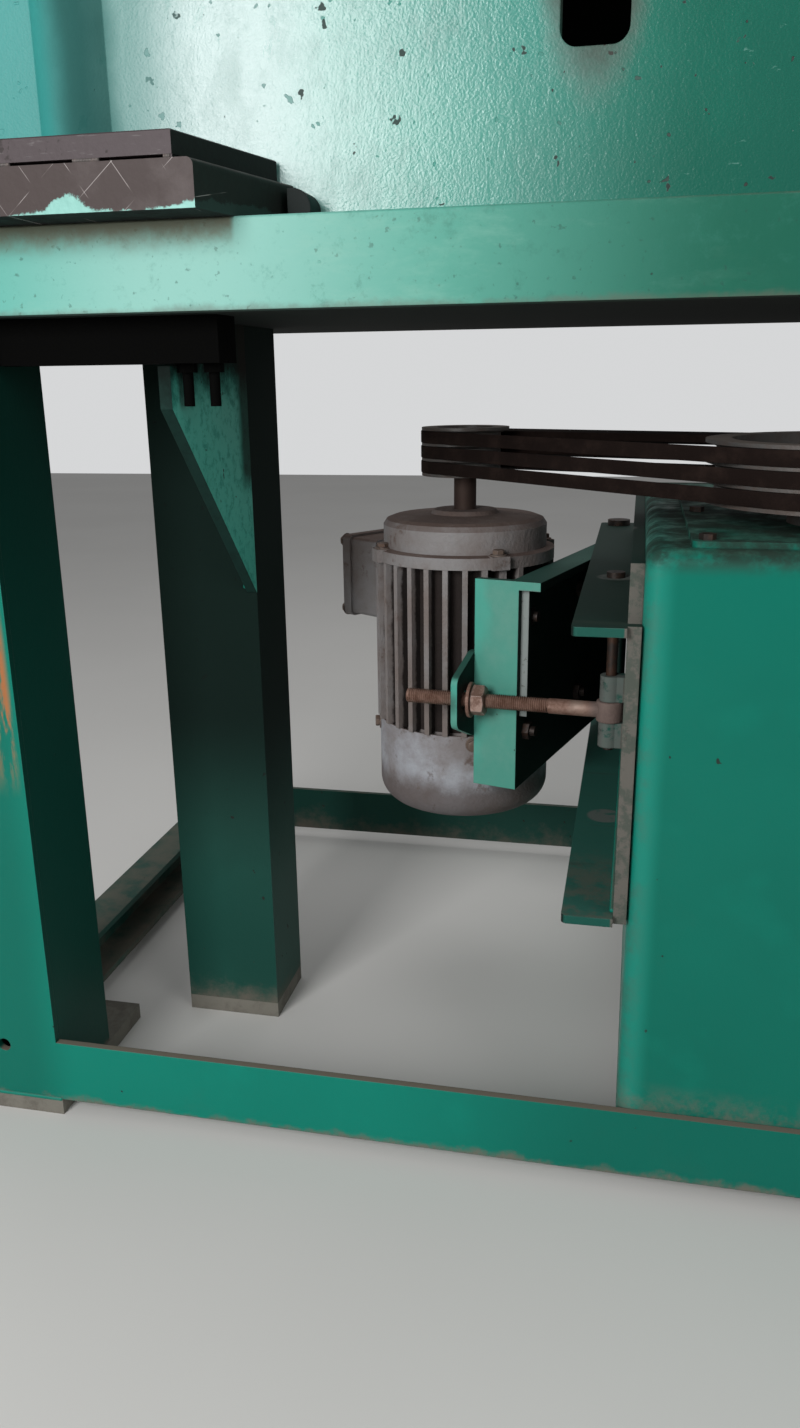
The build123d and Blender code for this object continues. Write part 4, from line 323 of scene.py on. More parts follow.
    def done(self):
        """The material, with its patterns joined to the shader."""
        self.put(self.shader.inputs["Base Color"], self.colour)
        self.put(self.shader.inputs["Roughness"], self.rough)
        if self.relief:
            self.put(self.shader.inputs["Normal"], self.relief)
        return self.material

    def dress(self, *nodes):
        """Gives CAD nodes this finish by their material slots."""
        self.done()
        for name in nodes:
            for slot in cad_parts[name].material_slots:
                slot.material = self.material


def darker(tint, share):
    return tuple(part * share for part in tint)


def plain(name, base, rough, patches, grain, *nodes, **shader):
    """A finish of one base with one set of patches and one grain, given to its nodes."""
    finish = Finish(name, base, rough, **shader)
    finish.cover(*patches)
    if grain:
        finish.grain(*grain)
    finish.dress(*nodes)
    return finish.material


def enamel(name, base, peel=1.0, chips=0.74, dirt=0.5, rough=0.32, wear=0.5, shine=0.2):
    """Brushed-on gloss enamel: orange peel, cloudy patches, chips, worn edges and dust on what faces up."""
    paint = bpy.context.scene.press_paint
    finish = Finish(name, base, rough, shine=shine)
    pale = tuple(min(1.0, part * 1.25) for part in base)
    edge = finish.edges()
    finish.cover((2.6, 0.38, 0.68, 4.0, 0.5), darker(base, 0.80), 0.6)
    finish.cover((11.0, 0.54, 0.74, 6.0, 0.5), pale, 0.35)
    grime = (7.0, 0.57, 0.80, 9.0, 0.72)
    finish.cover(grime, darker(paint.dust, 0.50), dirt * 0.30, 0.6)
    rubbed = [edge, (26.0, 0.40, 0.60, 6.0)]
    finish.cover(rubbed, tuple(0.75 * part + 0.045 for part in pale), wear, 0.5)
    top = ("nZ", 0.55, 0.9)
    patchy = (22.0, 0.28, 0.62)
    finish.cover([top, patchy], paint.dust, dirt, 0.85)
    speck = finish.lumps(85.0, chips, chips + 0.012, 2.0, 0.5)
    finish.cover(speck, paint.primer, 0.9, 0.7)
    finish.grain(430.0, 0.00012 * peel, 2.0)
    finish.grain(110.0, 0.00011 * peel, 3.0, stretch=(1.2, 1.2, 0.8))
    finish.emboss(finish.math("SUBTRACT", 1.0, speck), 0.0004)
    return finish


def clear():
    """Leaves nothing selected, so that the next operator acts on the new piece alone."""
    bpy.ops.object.select_all(action="DESELECT")


def pick(*pieces):
    """Selects these pieces alone and makes the first one active."""
    clear()
    for piece in pieces:
        piece.select_set(True)
    bpy.context.view_layer.objects.active = pieces[0]


def choose(kind, test):
    """In edit mode, selects the verts, edges or faces that pass a test."""
    bpy.ops.mesh.select_mode(type={"verts": "VERT", "edges": "EDGE", "faces": "FACE"}[kind])
    bpy.ops.mesh.select_all(action="DESELECT")
    mesh = bpy.context.object.data
    shape = bmesh.from_edit_mesh(mesh)
    for part in getattr(shape, kind):
        if test(part):
            part.select_set(True)
    bmesh.update_edit_mesh(mesh)


def edit(on=True):
    """Turns edit mode on or off."""
    bpy.ops.object.mode_set(mode="EDIT" if on else "OBJECT")


def everything():
    """In edit mode, selects all of the piece."""
    bpy.ops.mesh.select_all(action="SELECT")


def face_out():
    """In edit mode, turns all faces outwards."""
    everything()
    bpy.ops.mesh.normals_make_consistent(inside=False)


def is_end(face):
    return abs(face.normal.z) > 0.99


def drill(radius, wall_from):
    """In edit mode, opens a bore along local Z through both end faces."""
    choose("faces", is_end)
    bpy.ops.mesh.inset(thickness=wall_from - radius, use_boundary=True)
    bpy.ops.mesh.bridge_edge_loops()


def soften(offset, test, segments=2):
    """In edit mode, bevels the edges that pass a test."""
    choose("edges", test)
    bpy.ops.mesh.bevel(offset=offset, segments=segments, affect="EDGES")


def settle(piece, name, body, material, angle=35.0):
    """Names a piece, puts its place into its mesh, shades it and sets it on its body, if one is named."""
    pick(piece)
    bpy.ops.object.transform_apply(location=True, rotation=True, scale=True)
    bpy.ops.object.shade_smooth_by_angle(angle=math.radians(angle))
    piece.name = name
    piece.data.name = name
    piece.data.materials.clear()
    piece.data.materials.append(material)
    if body:
        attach(piece, body)


def copy_of(piece, place, turn):
    """A copy with its own mesh at another place."""
    pick(piece)
    bpy.ops.object.duplicate(linked=False)
    twin = bpy.context.object
    twin.location = place
    twin.rotation_euler = turn
    return twin


def together(pieces):
    """Joins several pieces into the first."""
    pick(*pieces)
    bpy.ops.object.transform_apply(location=True, rotation=True, scale=True)
    bpy.ops.object.join()
    return bpy.context.object


def disc(radius, depth, place=(0.0, 0.0, 0.0), turn=(0.0, 0.0, 0.0), sides=64):
    """A round blank for turning, drilling and bevelling."""
    clear()
    bpy.ops.mesh.primitive_cylinder_add(
        vertices=sides, radius=radius, depth=depth, location=place, rotation=turn
    )
    return bpy.context.object


def is_rim(edge):
    """Whether an edge runs round local Z."""
    return abs(edge.verts[0].co.z - edge.verts[1].co.z) < 0.0005


def is_top(edge):
    """Whether an edge lies above the middle of local Z."""
    return all(vert.co.z > 0.0 for vert in edge.verts)


def outside(radius):
    """A test for the edges that run round the outside of a blank."""
    return lambda edge: is_rim(edge) and edge.verts[0].co.xy.length > radius - 0.0005


def turned(blank, bore=0.0, bevel=0.0, test=is_rim, segments=2):
    """A round blank with a bore and bevelled edges."""
    edit()
    if bore:
        drill(bore, max(vert.co.xy.length for vert in blank.data.vertices))
    if bevel:
        soften(bevel, test, segments)
    edit(False)
    return blank


def modify(piece, kind, **settings):
    """Gives the active piece a modifier with these settings and applies it."""
    bpy.ops.object.modifier_add(type=kind)
    modifier = piece.modifiers[-1]
    for key, value in settings.items():
        setattr(modifier, key, value)
    bpy.ops.object.modifier_apply(modifier=modifier.name)


def hexagon(width, height, bore=0.0, place=(0.0, 0.0, 0.0), turn=(0.0, 0.0, 0.0)):
    """A hexagon with both faces chamfered round, as a nut with a bore or as a bolt's head."""
    corner = width / math.sqrt(3.0)
    crown = 0.475 * width
    slope = (corner - crown) * math.tan(math.radians(30.0))
    cone = disc(corner, height - 2.0 * slope, sides=48)
    edit()
    for side in (-1.0, 1.0):
        choose("faces", lambda face: face.normal.z * side > 0.99)
        bpy.ops.mesh.extrude_region_move(TRANSFORM_OT_translate={"value": (0.0, 0.0, side * slope)})
        bpy.ops.transform.resize(value=(crown / corner, crown / corner, 1.0))
    edit(False)
    nut = disc(corner, height, sides=6)
    modify(nut, "BOOLEAN", operation="INTERSECT", solver="EXACT", object=cone)
    if bore:
        edit()
        everything()
        bpy.ops.mesh.remove_doubles(threshold=0.00001)
        choose("faces", is_end)
        bpy.ops.mesh.dissolve_faces()
        drill(bore, crown)
        edit(False)
    bpy.data.objects.remove(cone)
    nut.location = place
    nut.rotation_euler = turn
    return nut


def screw_head(width, height, washer):
    """A hexagon head on its washer, seated on the origin and facing local Z."""
    head = hexagon(width, height, place=(0.0, 0.0, washer + height / 2.0))
    plate = disc(width * 0.78, washer, (0.0, 0.0, washer / 2.0), sides=24)
    return together([head, turned(plate, bevel=washer * 0.3, test=is_top, segments=1)])


def weld(start, end, radius, seed):
    """A hand-laid bead: overlapping ripples along a straight seam."""
    start = Vector(start)
    run = Vector(end) - start
    step = radius * 0.62
    clear()
    bpy.ops.mesh.primitive_uv_sphere_add(segments=10, ring_count=6, radius=radius)
    bead = bpy.context.object
    edit()
    everything()
    bpy.ops.transform.resize(value=(0.72, 1.0, 1.0))
    edit(False)
    modify(
        bead, "ARRAY", count=max(2, int(run.length / step) + 1), use_relative_offset=False,
        use_constant_offset=True, constant_offset_displace=(step, 0.0, 0.0),
    )
    edit()
    everything()
    bpy.ops.transform.vertex_random(offset=radius * 0.13, seed=seed)
    edit(False)
    bead.location = start
    bead.rotation_euler = run.to_track_quat("X", "Z").to_euler()
    return bead


def level_way(angle):
    """The level direction at an angle from X."""
    return Vector((math.cos(angle), math.sin(angle), 0.0))


def aimed(way, axis="Z"):
    """The turn that points a local axis along a direction."""
    return way.to_track_quat(axis, "Y").to_euler()


class FinishOperator(bpy.types.Operator):
    """Base of the operators that finish CAD nodes."""

    bl_options = {"REGISTER", "UNDO"}


class PRESS_OT_frame_paint(FinishOperator):
    """Paints the front frame, posts, rails and bed"""

    bl_idname = "press.frame_paint"
    bl_label = "Paint the frame"

    def execute(self, context):
        paint = context.scene.press_paint
        front = enamel("frame_enamel", paint.frame_green, chips=0.76, dirt=0.35, wear=0.75)
        # Painted shade: the faces that face +X are darkened, and near black from 0.45 m up
        shaded_inner_side = ("nX", 0.4, 0.9)
        front.cover(shaded_inner_side, darker(paint.frame_green, 0.16), 0.92, 0.5)
        front.cover([shaded_inner_side, ("Z", 0.45, 0.80)], (0.001, 0.010, 0.007), 0.75, 0.6)
        shadow = darker(paint.frame_green, 0.45)
        front.cover(("X", -0.50, -0.56), shadow, 0.50)
        front.cover([("X", -0.20, 0.10), ("Z", 0.25, 0.15)], shadow, 0.55)
        front.cover(front.level(30.0, 0.045, 0.050, 0.038), paint.dust, 0.8, 0.9)
        front.cover([TOPS, ("Z", 0.20, 0.15)], (0.16, 0.12, 0.095), 0.85, 0.95)
        edge = [("X", -0.527, -0.535), ("X", -0.580, -0.560)]
        streak = (16.0, 0.44, 0.54, 6.0, 0.7, (2.5, 1.0, 0.45))
        band = [("Z", 0.38, 0.46), ("Z", 0.62, 0.54)]
        front.cover([edge, streak, band], (0.36, 0.13, 0.045), 0.95, 0.8)
        front.dress("front_frame", "left_front_post", "right_front_post")

        dull = enamel("frame_enamel_dull", paint.dull_shaded_green, chips=0.73, dirt=0.55, rough=0.55, shine=0.2)
        dull.cover(dull.level(14.0, 0.16, 0.135, 0.075), paint.dust, 0.8, 0.9)
        # Painted shade: darkens from 0.16 m and is near black from 0.42 m up, for the shade under the bed
        dull.cover(("Z", 0.16, 0.42), (0.001, 0.007, 0.005), 0.95, 0.92)
        rails = ("left_base_rail", "right_base_rail", "rear_base_rail")
        dull.dress("left_rear_post", "right_rear_post", "tank_bearers", *rails)

        bed = enamel("bed_enamel", paint.bed_green, peel=0.6, chips=0.76, dirt=0.6, rough=0.42, wear=0.8)
        # Painted light: the bed's edge grows lighter to the left, with a painted highlight from X -0.06 to
        # -0.32 m and a lighter band at the left end
        bed.cover(("X", 0.15, -0.14), (0.075, 0.315, 0.245))
        bed.cover(("X", -0.06, -0.32), (0.215, 0.465, 0.405))
        bed.cover(("X", -0.34, -0.52), (0.075, 0.360, 0.300), 0.8)
        bed.cover((52.0, 0.52, 0.70, 8.0, 0.78), (0.025, 0.150, 0.110), 0.42)
        bed.cover((150.0, 0.66, 0.74, 3.0, 0.5), (0.015, 0.070, 0.052), 0.5)
        chalk = (7.0, 0.50, 0.68, 8.0, 0.7, (1.0, 1.0, 3.0))
        bed.cover([chalk, ("X", 0.20, -0.05)], (0.28, 0.48, 0.40), 0.20, 0.6)
        # A sandy band just under the bed's top, from its left end as far as X -0.27 m
        left_of_block_side = ("X", -0.266, -0.272)
        under_bed_top = bed.level(30.0, 0.034, 0.912, 0.938)
        bed.cover([left_of_block_side, under_bed_top], (0.150, 0.125, 0.080), 0.85, 0.6)
        bed.cover(bed.level(30.0, 0.02, 0.866, 0.857), darker(paint.dust, 0.8), 0.5, 0.7)
        # Painted shade: the faces that look down are near black
        bed.cover(("nZ", -0.3, -0.8), (0.003, 0.004, 0.003), 0.97, 0.9)
        bed.dress("bed_slab")

        # Painted light: the bright base stands in for lamp light falling on the gusset's face
        gusset = enamel("gusset_enamel", (0.060, 0.440, 0.340), chips=0.72, dirt=0.5, rough=0.42)
        gusset.cover((75.0, 0.48, 0.62, 7.0, 0.78), (0.018, 0.230, 0.175), 0.75, 0.6)
        # Painted shade: the faces that don't face +X are near black
        gusset.cover(("nX", 0.6, 0.3), (0.002, 0.006, 0.005), 0.95, 0.8)
        # Painted shadow: near black above about 0.8 m, under the clamp beam
        gusset.cover(gusset.level(34.0, 0.06, 0.795, 0.835), (0.001, 0.004, 0.003), 0.97, 0.9)
        seam = [("Y", -0.180, -0.160), gusset.level(34.0, 0.06, 0.690, 0.730)]
        gusset.cover(seam, (0.012, 0.010, 0.007), 0.85, 0.9)
        gusset.dress("bed_gusset")
        return {"FINISHED"}


class PRESS_OT_body_paint(FinishOperator):
    """Paints the upright wall, its covers and the head bracket"""

    bl_idname = "press.body_paint"
    bl_label = "Paint the body"

    def execute(self, context):
        paint = context.scene.press_paint
        wall = enamel(
            "wall_enamel", paint.wall_green, peel=1.9, chips=0.725, dirt=0.35, rough=0.24, shine=0.5
        )
        drift = wall.plus(wall.parts["X"], wall.both(wall.noise(6.0, 7.0, (1.0, 1.0, 0.4), 0.7), 0.06))
        # Painted light: lighter teal to the left of about X 0.1 m, and a pale painted highlight left of about
        # X -0.2 m
        wall.cover(wall.step(drift, 0.15, -0.10), (0.060, 0.300, 0.240))
        wall.cover(wall.step(drift, -0.08, -0.27), (0.230, 0.360, 0.345), 0.9)
        # Painted shade: the lit part of the wall darkens again towards the top
        high = [("Z", 0.98, 1.08), wall.step(drift, -0.22, -0.12)]
        wall.cover([high, wall.step(drift, 0.08, -0.02)], (0.035, 0.235, 0.190), 0.60)
        blots = (13.0, 0.48, 0.66, 9.0, 0.78, (1.0, 1.0, 0.7))
        wall.cover([blots, wall.step(drift, 0.10, -0.10)], (0.070, 0.205, 0.175), 0.42, 0.35)
        pocks = (55.0, 0.56, 0.68, 6.0, 0.75, (1.0, 1.0, 0.6))
        wall.cover([pocks, wall.step(drift, 0.02, -0.20)], (0.055, 0.230, 0.195), 0.6)
        wall.cover((90.0, 0.66, 0.72, 4.0, 0.7, (0.5, 1.0, 1.5)), (0.20, 0.42, 0.37), 0.35, 0.4)
        wall.cover((44.0, 0.690, 0.705, 3.0, 0.55), (0.004, 0.010, 0.008), 0.9, 0.7)
        # Painted light and shade on the rib at the left: mid teal left of X -0.31 m, a painted shaded band
        # from -0.39 to -0.43 m and a lit teal strip beyond
        corner = wall.plus(wall.parts["X"], wall.both(wall.noise(9.0, 5.0), 0.03))
        wall.cover(wall.step(corner, -0.310, -0.385), (0.030, 0.200, 0.175), 0.80, 0.45)
        wall.cover(wall.step(corner, -0.385, -0.425), (0.008, 0.085, 0.076), 0.90, 0.95)
        wall.cover(wall.step(corner, -0.430, -0.470), (0.032, 0.300, 0.275), 0.92, 0.5)
        # Painted shadow: a soft dark brown patch round the slot
        hole_x = wall.math("SUBTRACT", wall.parts["X"], SLOT_MIDDLE[0])
        hole_z = wall.both(wall.math("SUBTRACT", wall.parts["Z"], SLOT_MIDDLE[1]), 0.42)
        squares = wall.plus(wall.both(hole_x, hole_x), wall.both(hole_z, hole_z))
        fray = wall.both(wall.noise(30.0, 7.0, ragged=0.7), 0.022)
        slot_shadow = wall.math("SUBTRACT", wall.math("SQRT", squares), fray)
        wall.cover(wall.step(slot_shadow, 0.044, 0.018), (0.040, 0.026, 0.020), 0.80, 0.7)
        # Painted shade: the faces inside the hollow body are dark
        wall.cover(("nY", 0.3, 0.8), (0.020, 0.016, 0.014), 0.95, 0.8)
        wall.dress("front_wall", "head_bracket")
        rest = enamel("cover_enamel", paint.frame_green, chips=0.76, dirt=0.4)
        # Painted shade: the rear wall's faces inside the hollow body are dark
        rest.cover([("nY", -0.3, -0.8), ("Z", 0.90, 0.93)], (0.020, 0.016, 0.014), 0.95, 0.8)
        rest.dress("rear_wall", "body_cover")
        return {"FINISHED"}


class PRESS_OT_tank_paint(FinishOperator):
    """Paints the tank, its lid, the hinge plate and the motor bracket"""

    bl_idname = "press.tank_paint"
    bl_label = "Paint the tank"

    def execute(self, context):
        paint = context.scene.press_paint
        tank = enamel("tank_enamel", paint.tank_green, peel=0.9, chips=0.775, dirt=0.30, wear=0.6)
        # Painted sheen: lighter and glossier on the tank's rounded left corner
        tank.cover(("X", 0.114, 0.096), (0.016, 0.270, 0.205), 0.5, 0.34)
        tank.cover([("X", 0.108, 0.088), (34.0, 0.42, 0.62)], (0.055, 0.120, 0.092), 0.4, 0.7)
        tank.cover([("Z", 0.626, 0.645), (26.0, 0.32, 0.60)], (0.014, 0.019, 0.014), 0.85, 0.85)
        tank.cover([("Z", 0.13, 0.09), (30.0, 0.40, 0.64)], paint.dust, 0.6, 0.85)
        tank.dress("oil_tank", "tank_lid")

        hinge = enamel("hinge_enamel", (0.006, 0.075, 0.056), chips=0.72, dirt=0.12, rough=0.5, wear=0.9)
        hinge.cover([TOPS, ("Z", 0.45, 0.50)], (0.010, 0.024, 0.018), 0.85, 0.7)
        lower = [TOPS, ("Z", 0.45, 0.40)]
        hinge.cover(lower, (0.026, 0.110, 0.086), 0.85, 0.6)
        front_end = [lower, ("Y", -0.20, -0.30)]
        grime = (30.0, 0.42, 0.58, 8.0, 0.75)
        hinge.cover([front_end, grime], (0.105, 0.095, 0.075), 0.55, 0.9)
        hinge.cover((26.0, 0.56, 0.70, 6.0, 0.7, (0.12, 1.0, 1.0)), (0.045, 0.060, 0.048), 0.5, 0.8)
        hinge.cover(("nX", -0.4, -0.8), (0.003, 0.006, 0.005), 0.92, 0.8)
        knuckle = hinge.step(hinge.distance(EYE, "XY"), 0.022, 0.018)
        crumbs = (60.0, 0.36, 0.50, 7.0)
        hinge.cover([knuckle, crumbs], (0.120, 0.130, 0.120), 0.8, 0.8)
        front_side = ("nY", -0.5, -0.8)
        brink = [front_side, ("X", 0.0685, 0.0700)]
        hinge.cover(brink, (0.070, 0.074, 0.062), 0.9, 0.8)
        flakes = (48.0, 0.44, 0.54, 7.0, 0.75)
        hinge.cover([brink, flakes], (0.135, 0.118, 0.105), 0.6, 0.9)
        hinge.dress("hinge_plate")

        bracket = enamel("bracket_enamel", (0.075, 0.300, 0.235), chips=0.73, dirt=0.3, rough=0.40, wear=0.7)
        bracket.cover((10.0, 0.42, 0.68), (0.15, 0.33, 0.27), 0.5, 0.6)
        bracket.cover(TOPS, (0.010, 0.045, 0.034), 0.8, 0.7)
        # Painted shade: the faces that face +X are near black
        bracket.cover(("nX", 0.35, 0.8), (0.002, 0.007, 0.005), 0.95, 0.8)
        front_side = ("nY", -0.8, -0.9)
        web_end = [front_side, ("X", -0.0525, -0.0505), ("Z", 0.562, 0.558)]
        bracket.cover(web_end, (0.26, 0.27, 0.265), 0.9, 0.6)
        bracket.cover([web_end, (60.0, 0.56, 0.64, 6.0)], (0.045, 0.032, 0.028), 0.9, 0.8)
        # Painted highlight: lighter, glossier teal patches on the faces that face the front
        front_highlight = (14.0, 0.50, 0.66, 5.0, 0.5, (1.0, 1.0, 0.5))
        bracket.cover([front_side, front_highlight], (0.060, 0.420, 0.330), 0.45, 0.35)
        around_rod = bracket.step(bracket.distance(ROD_MEETS_EAR), 0.030, 0.020)
        bracket.cover([around_rod, (60.0, 0.36, 0.52, 5.0)], (0.030, 0.024, 0.020), 0.9, 0.7)
        bracket.dress("motor_bracket")

        # Painted shade: a near-black green base for a green part that lies in shade
        stop = enamel("stop_enamel", (0.002, 0.007, 0.006), chips=0.70, dirt=0.2, rough=0.6)
        stop.dress("block_stop")
        return {"FINISHED"}


class PRESS_OT_block_steel(FinishOperator):
    """Finishes the tool block, its clamp, the pads and the bolts"""

    bl_idname = "press.block_steel"
    bl_label = "Finish the block"

    def execute(self, context):
        metal = context.scene.press_metal
        paint = context.scene.press_paint
        plate = Finish("plate_steel", metal.plate_steel, 0.55, metal=0.15, shine=0.25)
        plate.cover((9.0, 0.40, 0.70, 8.0, 0.65), (0.084, 0.068, 0.071), 0.7, 0.6)
        plate.cover((40.0, 0.60, 0.66, 4.0, 0.7, (1.0, 9.0, 9.0)), (0.13, 0.12, 0.12), 0.4, 0.45)
        plate.cover((120.0, 0.66, 0.72, 3.0, 0.5), (0.035, 0.030, 0.028), 0.7, 0.7)
        # Painted shade: the faces that face +X are near black
        plate.cover(("nX", 0.6, 0.9), (0.005, 0.007, 0.006), 0.93, 0.7)
        plate.grain(160.0, 0.0004, 4.0)
        plate.dress("block_plate", "tool_plate")

        body = Finish("block_worn", (0.048, 0.034, 0.032), 0.6, metal=0.1, shine=0.3)
        body.cover((11.0, 0.42, 0.68, 8.0, 0.65), (0.098, 0.080, 0.078), 0.7, 0.6)
        wander = body.both(body.noise(26.0, 8.0, ragged=0.75), 0.030)
        hill = body.math("ABSOLUTE", body.plus(body.parts["X"], 0.392))
        blob = body.both(body.step(hill, 0.030, 0.006), 0.011)
        tongue = body.both(("X", -0.298, -0.268), 0.008)
        rise = body.math("SUBTRACT", wander, body.plus(blob, tongue))
        level = body.plus(body.parts["Z"], rise)
        body.cover(body.step(level, 0.9395, 0.9370), (0.19, 0.43, 0.38), 0.9, 0.4)
        # Painted shade: the faces that face +X and those that look down are near black
        body.cover(("nX", 0.6, 0.9), (0.004, 0.008, 0.006), 0.93, 0.7)
        body.cover(("nZ", -0.4, -0.8), (0.002, 0.002, 0.002), 0.97, 0.9)
        for angle in (35.0, -50.0):
            body.cover(self.scratches(body, angle), (0.42, 0.38, 0.37), 0.7, 0.4)
        body.grain(130.0, 0.0005, 4.0)
        body.dress("block_body")

        # Painted shade: the near-black base stands in for the shade under the bed, with dust over it
        plain(
            "black_beam", (0.0012, 0.0012, 0.0011), 0.9,
            ((20.0, 0.60, 0.76), darker(paint.dust, 0.12), 0.4, 0.95),
            (140.0, 0.0006, 3.0), "clamp_beam", "clamp_bolts", shine=0.05,
        )
        plain(
            "oily_bolt", (0.026, 0.019, 0.016), 0.5,
            ((60.0, 0.45, 0.65, 6.0), darker(paint.rust, 0.5), 0.5, 0.8),
            (300.0, 0.0003, 3.0), "hex_bolts", "foot_bolts", "hinge_pin", "eye_pin", metal=0.5,
        )
        plain(
            "dusty_pad", (0.165, 0.155, 0.130), 0.85, ((24.0, 0.42, 0.64), (0.085, 0.075, 0.062), 0.7),
            (90.0, 0.0010, 6.0), "foot_pads",
        )
        return {"FINISHED"}

    def scratches(self, finish, angle):
        """Thin straight scores that cross the face at one angle."""
        turn = math.radians(angle)
        across = finish.both(finish.parts["X"], math.cos(turn))
        up = finish.both(finish.parts["Z"], math.sin(turn))
        wave = finish.math("SINE", finish.both(finish.plus(across, up), 95.0))
        thin = finish.step(finish.math("ABSOLUTE", wave), 0.030, 0.005)
        broken = (14.0, 0.52, 0.58, 3.0, 0.5)
        return finish.both(thin, broken)


class PRESS_OT_motor_finish(FinishOperator):
    """Finishes the motor: dusty casting, near black between the ribs and a pale cowl"""

    bl_idname = "press.motor_finish"
    bl_label = "Finish the motor"

    def execute(self, context):
        metal = context.scene.press_metal
        case = self.casting("motor_casting", metal.motor_grey)
        reach = case.distance(MOTOR_AXIS, "XY")
        ragged = case.plus(reach, case.both(case.noise(45.0, 8.0, ragged=0.75), 0.012))
        # Near black towards the motor's axis, between the ribs
        case.cover(case.step(ragged, 0.1150, 0.1105), (0.010, 0.005, 0.0035), 0.97, 0.95)
        case.dress("motor_body")
        shield = self.casting("shield_casting", metal.motor_grey)
        shield.cover([("nZ", 0.2, 0.8), (16.0, 0.25, 0.55)], (0.098, 0.064, 0.053), 0.92, 0.95)
        shield.dress("drive_end_shield", "fan_end_shield", "terminal_box")

        cowl = self.casting("cowl_paint", metal.cowl_grey)
        cowl.cover(cowl.level(28.0, 0.040, 0.386, 0.398), (0.085, 0.048, 0.036), 0.85, 0.95)
        cowl.cover(cowl.level(28.0, 0.040, 0.336, 0.306), (0.080, 0.056, 0.048), 0.8, 0.95)
        cowl.cover((38.0, 0.60, 0.68, 8.0, 0.75), (0.120, 0.088, 0.074), 0.7, 0.95)
        cowl.dress("fan_cowl")

        core = Finish("core_laminate", (0.18, 0.18, 0.19), 0.5, metal=0.7)
        core.emboss(core.math("SINE", core.both(core.parts["Z"], 6000.0)), 0.0002)
        core.dress("stator_core")
        return {"FINISHED"}

    def casting(self, name, base):
        """Sand-cast iron under old grey paint, dust and rust blooms."""
        finish = Finish(name, base, 0.62)
        finish.cover((8.0, 0.38, 0.66, 8.0, 0.65), (0.150, 0.112, 0.096), 0.75, 0.85)
        finish.cover((34.0, 0.56, 0.68), (0.090, 0.050, 0.034), 0.7, 0.95)
        finish.cover(TOPS, (0.150, 0.105, 0.085), 0.8, 0.95)
        finish.grain(240.0, 0.0007, 4.0)
        finish.grain(60.0, 0.0009, 6.0, ragged=0.7)
        return finish


class PRESS_OT_drive_finish(FinishOperator):
    """Finishes pulleys, shafts, pump and pipes"""

    bl_idname = "press.drive_finish"
    bl_label = "Finish the drive"

    def execute(self, context):
        metal = context.scene.press_metal
        paint = context.scene.press_paint
        iron = Finish("pulley_iron", metal.casting, 0.5, metal=0.5)
        iron.cover((20.0, 0.42, 0.66), (0.085, 0.055, 0.042), 0.7, 0.85)
        iron.cover(("nZ", 0.6, 0.9), darker(paint.dust, 0.8), 0.7, 0.9)
        iron.grain(220.0, 0.0004, 4.0)
        iron.dress("motor_pulley", "driven_pulley", "pump_body")

        shaft = Finish("turned_steel", (0.42, 0.41, 0.40), 0.32, metal=1.0)
        shaft.cover((30.0, 0.52, 0.70, 6.0), (0.16, 0.11, 0.08), 0.5, 0.6)
        near_motor = shaft.step(shaft.distance(MOTOR_AXIS, "XY"), 0.06, 0.05)
        shaft.cover([("Z", 0.560, 0.600), near_motor], (0.060, 0.030, 0.021), 0.9, 0.8)
        shaft.grain(60.0, 0.0001, 2.0, stretch=(0.2, 0.2, 30.0))
        shaft.dress("rotor_shaft", "pump_shaft", "motor_bearings")

        plain(
            "hard_chrome", (0.72, 0.73, 0.75), 0.12,
            ((40.0, 0.55, 0.75, 4.0, 0.5, (1.0, 1.0, 0.1)), (0.60, 0.59, 0.58), 0.5, 0.22),
            None, "piston_rod", metal=1.0,
        )

        black = Finish("press_black", (0.020, 0.022, 0.023), 0.38, coat=0.2)
        black.cover((12.0, 0.50, 0.72), darker(paint.dust, 0.6), 0.35, 0.6)
        black.cover(("nZ", 0.6, 0.9), darker(paint.dust, 0.8), 0.4, 0.85)
        black.grain(200.0, 0.0006, 3.0)
        black.dress("cylinder_barrel", "valve_block", "gauge_case", "valve_lever", "filler_cap")

        plain(
            "pipe_steel", (0.36, 0.35, 0.33), 0.35, ((26.0, 0.50, 0.68), (0.15, 0.10, 0.07), 0.6, 0.7),
            (180.0, 0.0002, 3.0), "cylinder_pipes", "tank_pipes", "suction_strainer", metal=0.9,
        )
        plain(
            "bronze", (0.45, 0.29, 0.13), 0.35, ((30.0, 0.5, 0.7, 6.0, 0.5), (0.20, 0.13, 0.07), 0.5, 0.5),
            None, "cylinder_gland", metal=1.0,
        )
        plain(
            "black_plastic", (0.018, 0.018, 0.018), 0.55,
            ((18.0, 0.42, 0.66), darker(paint.dust, 0.7), 0.6, 0.9),
            (260.0, 0.0003, 2.0), "cooling_fan", "cable_gland",
        )
        plain(
            "pointer_red", (0.42, 0.02, 0.015), 0.5,
            ((200.0, 0.55, 0.7, 3.0, 0.5), (0.25, 0.02, 0.015), 0.5), None, "gauge_needle",
        )
        return {"FINISHED"}


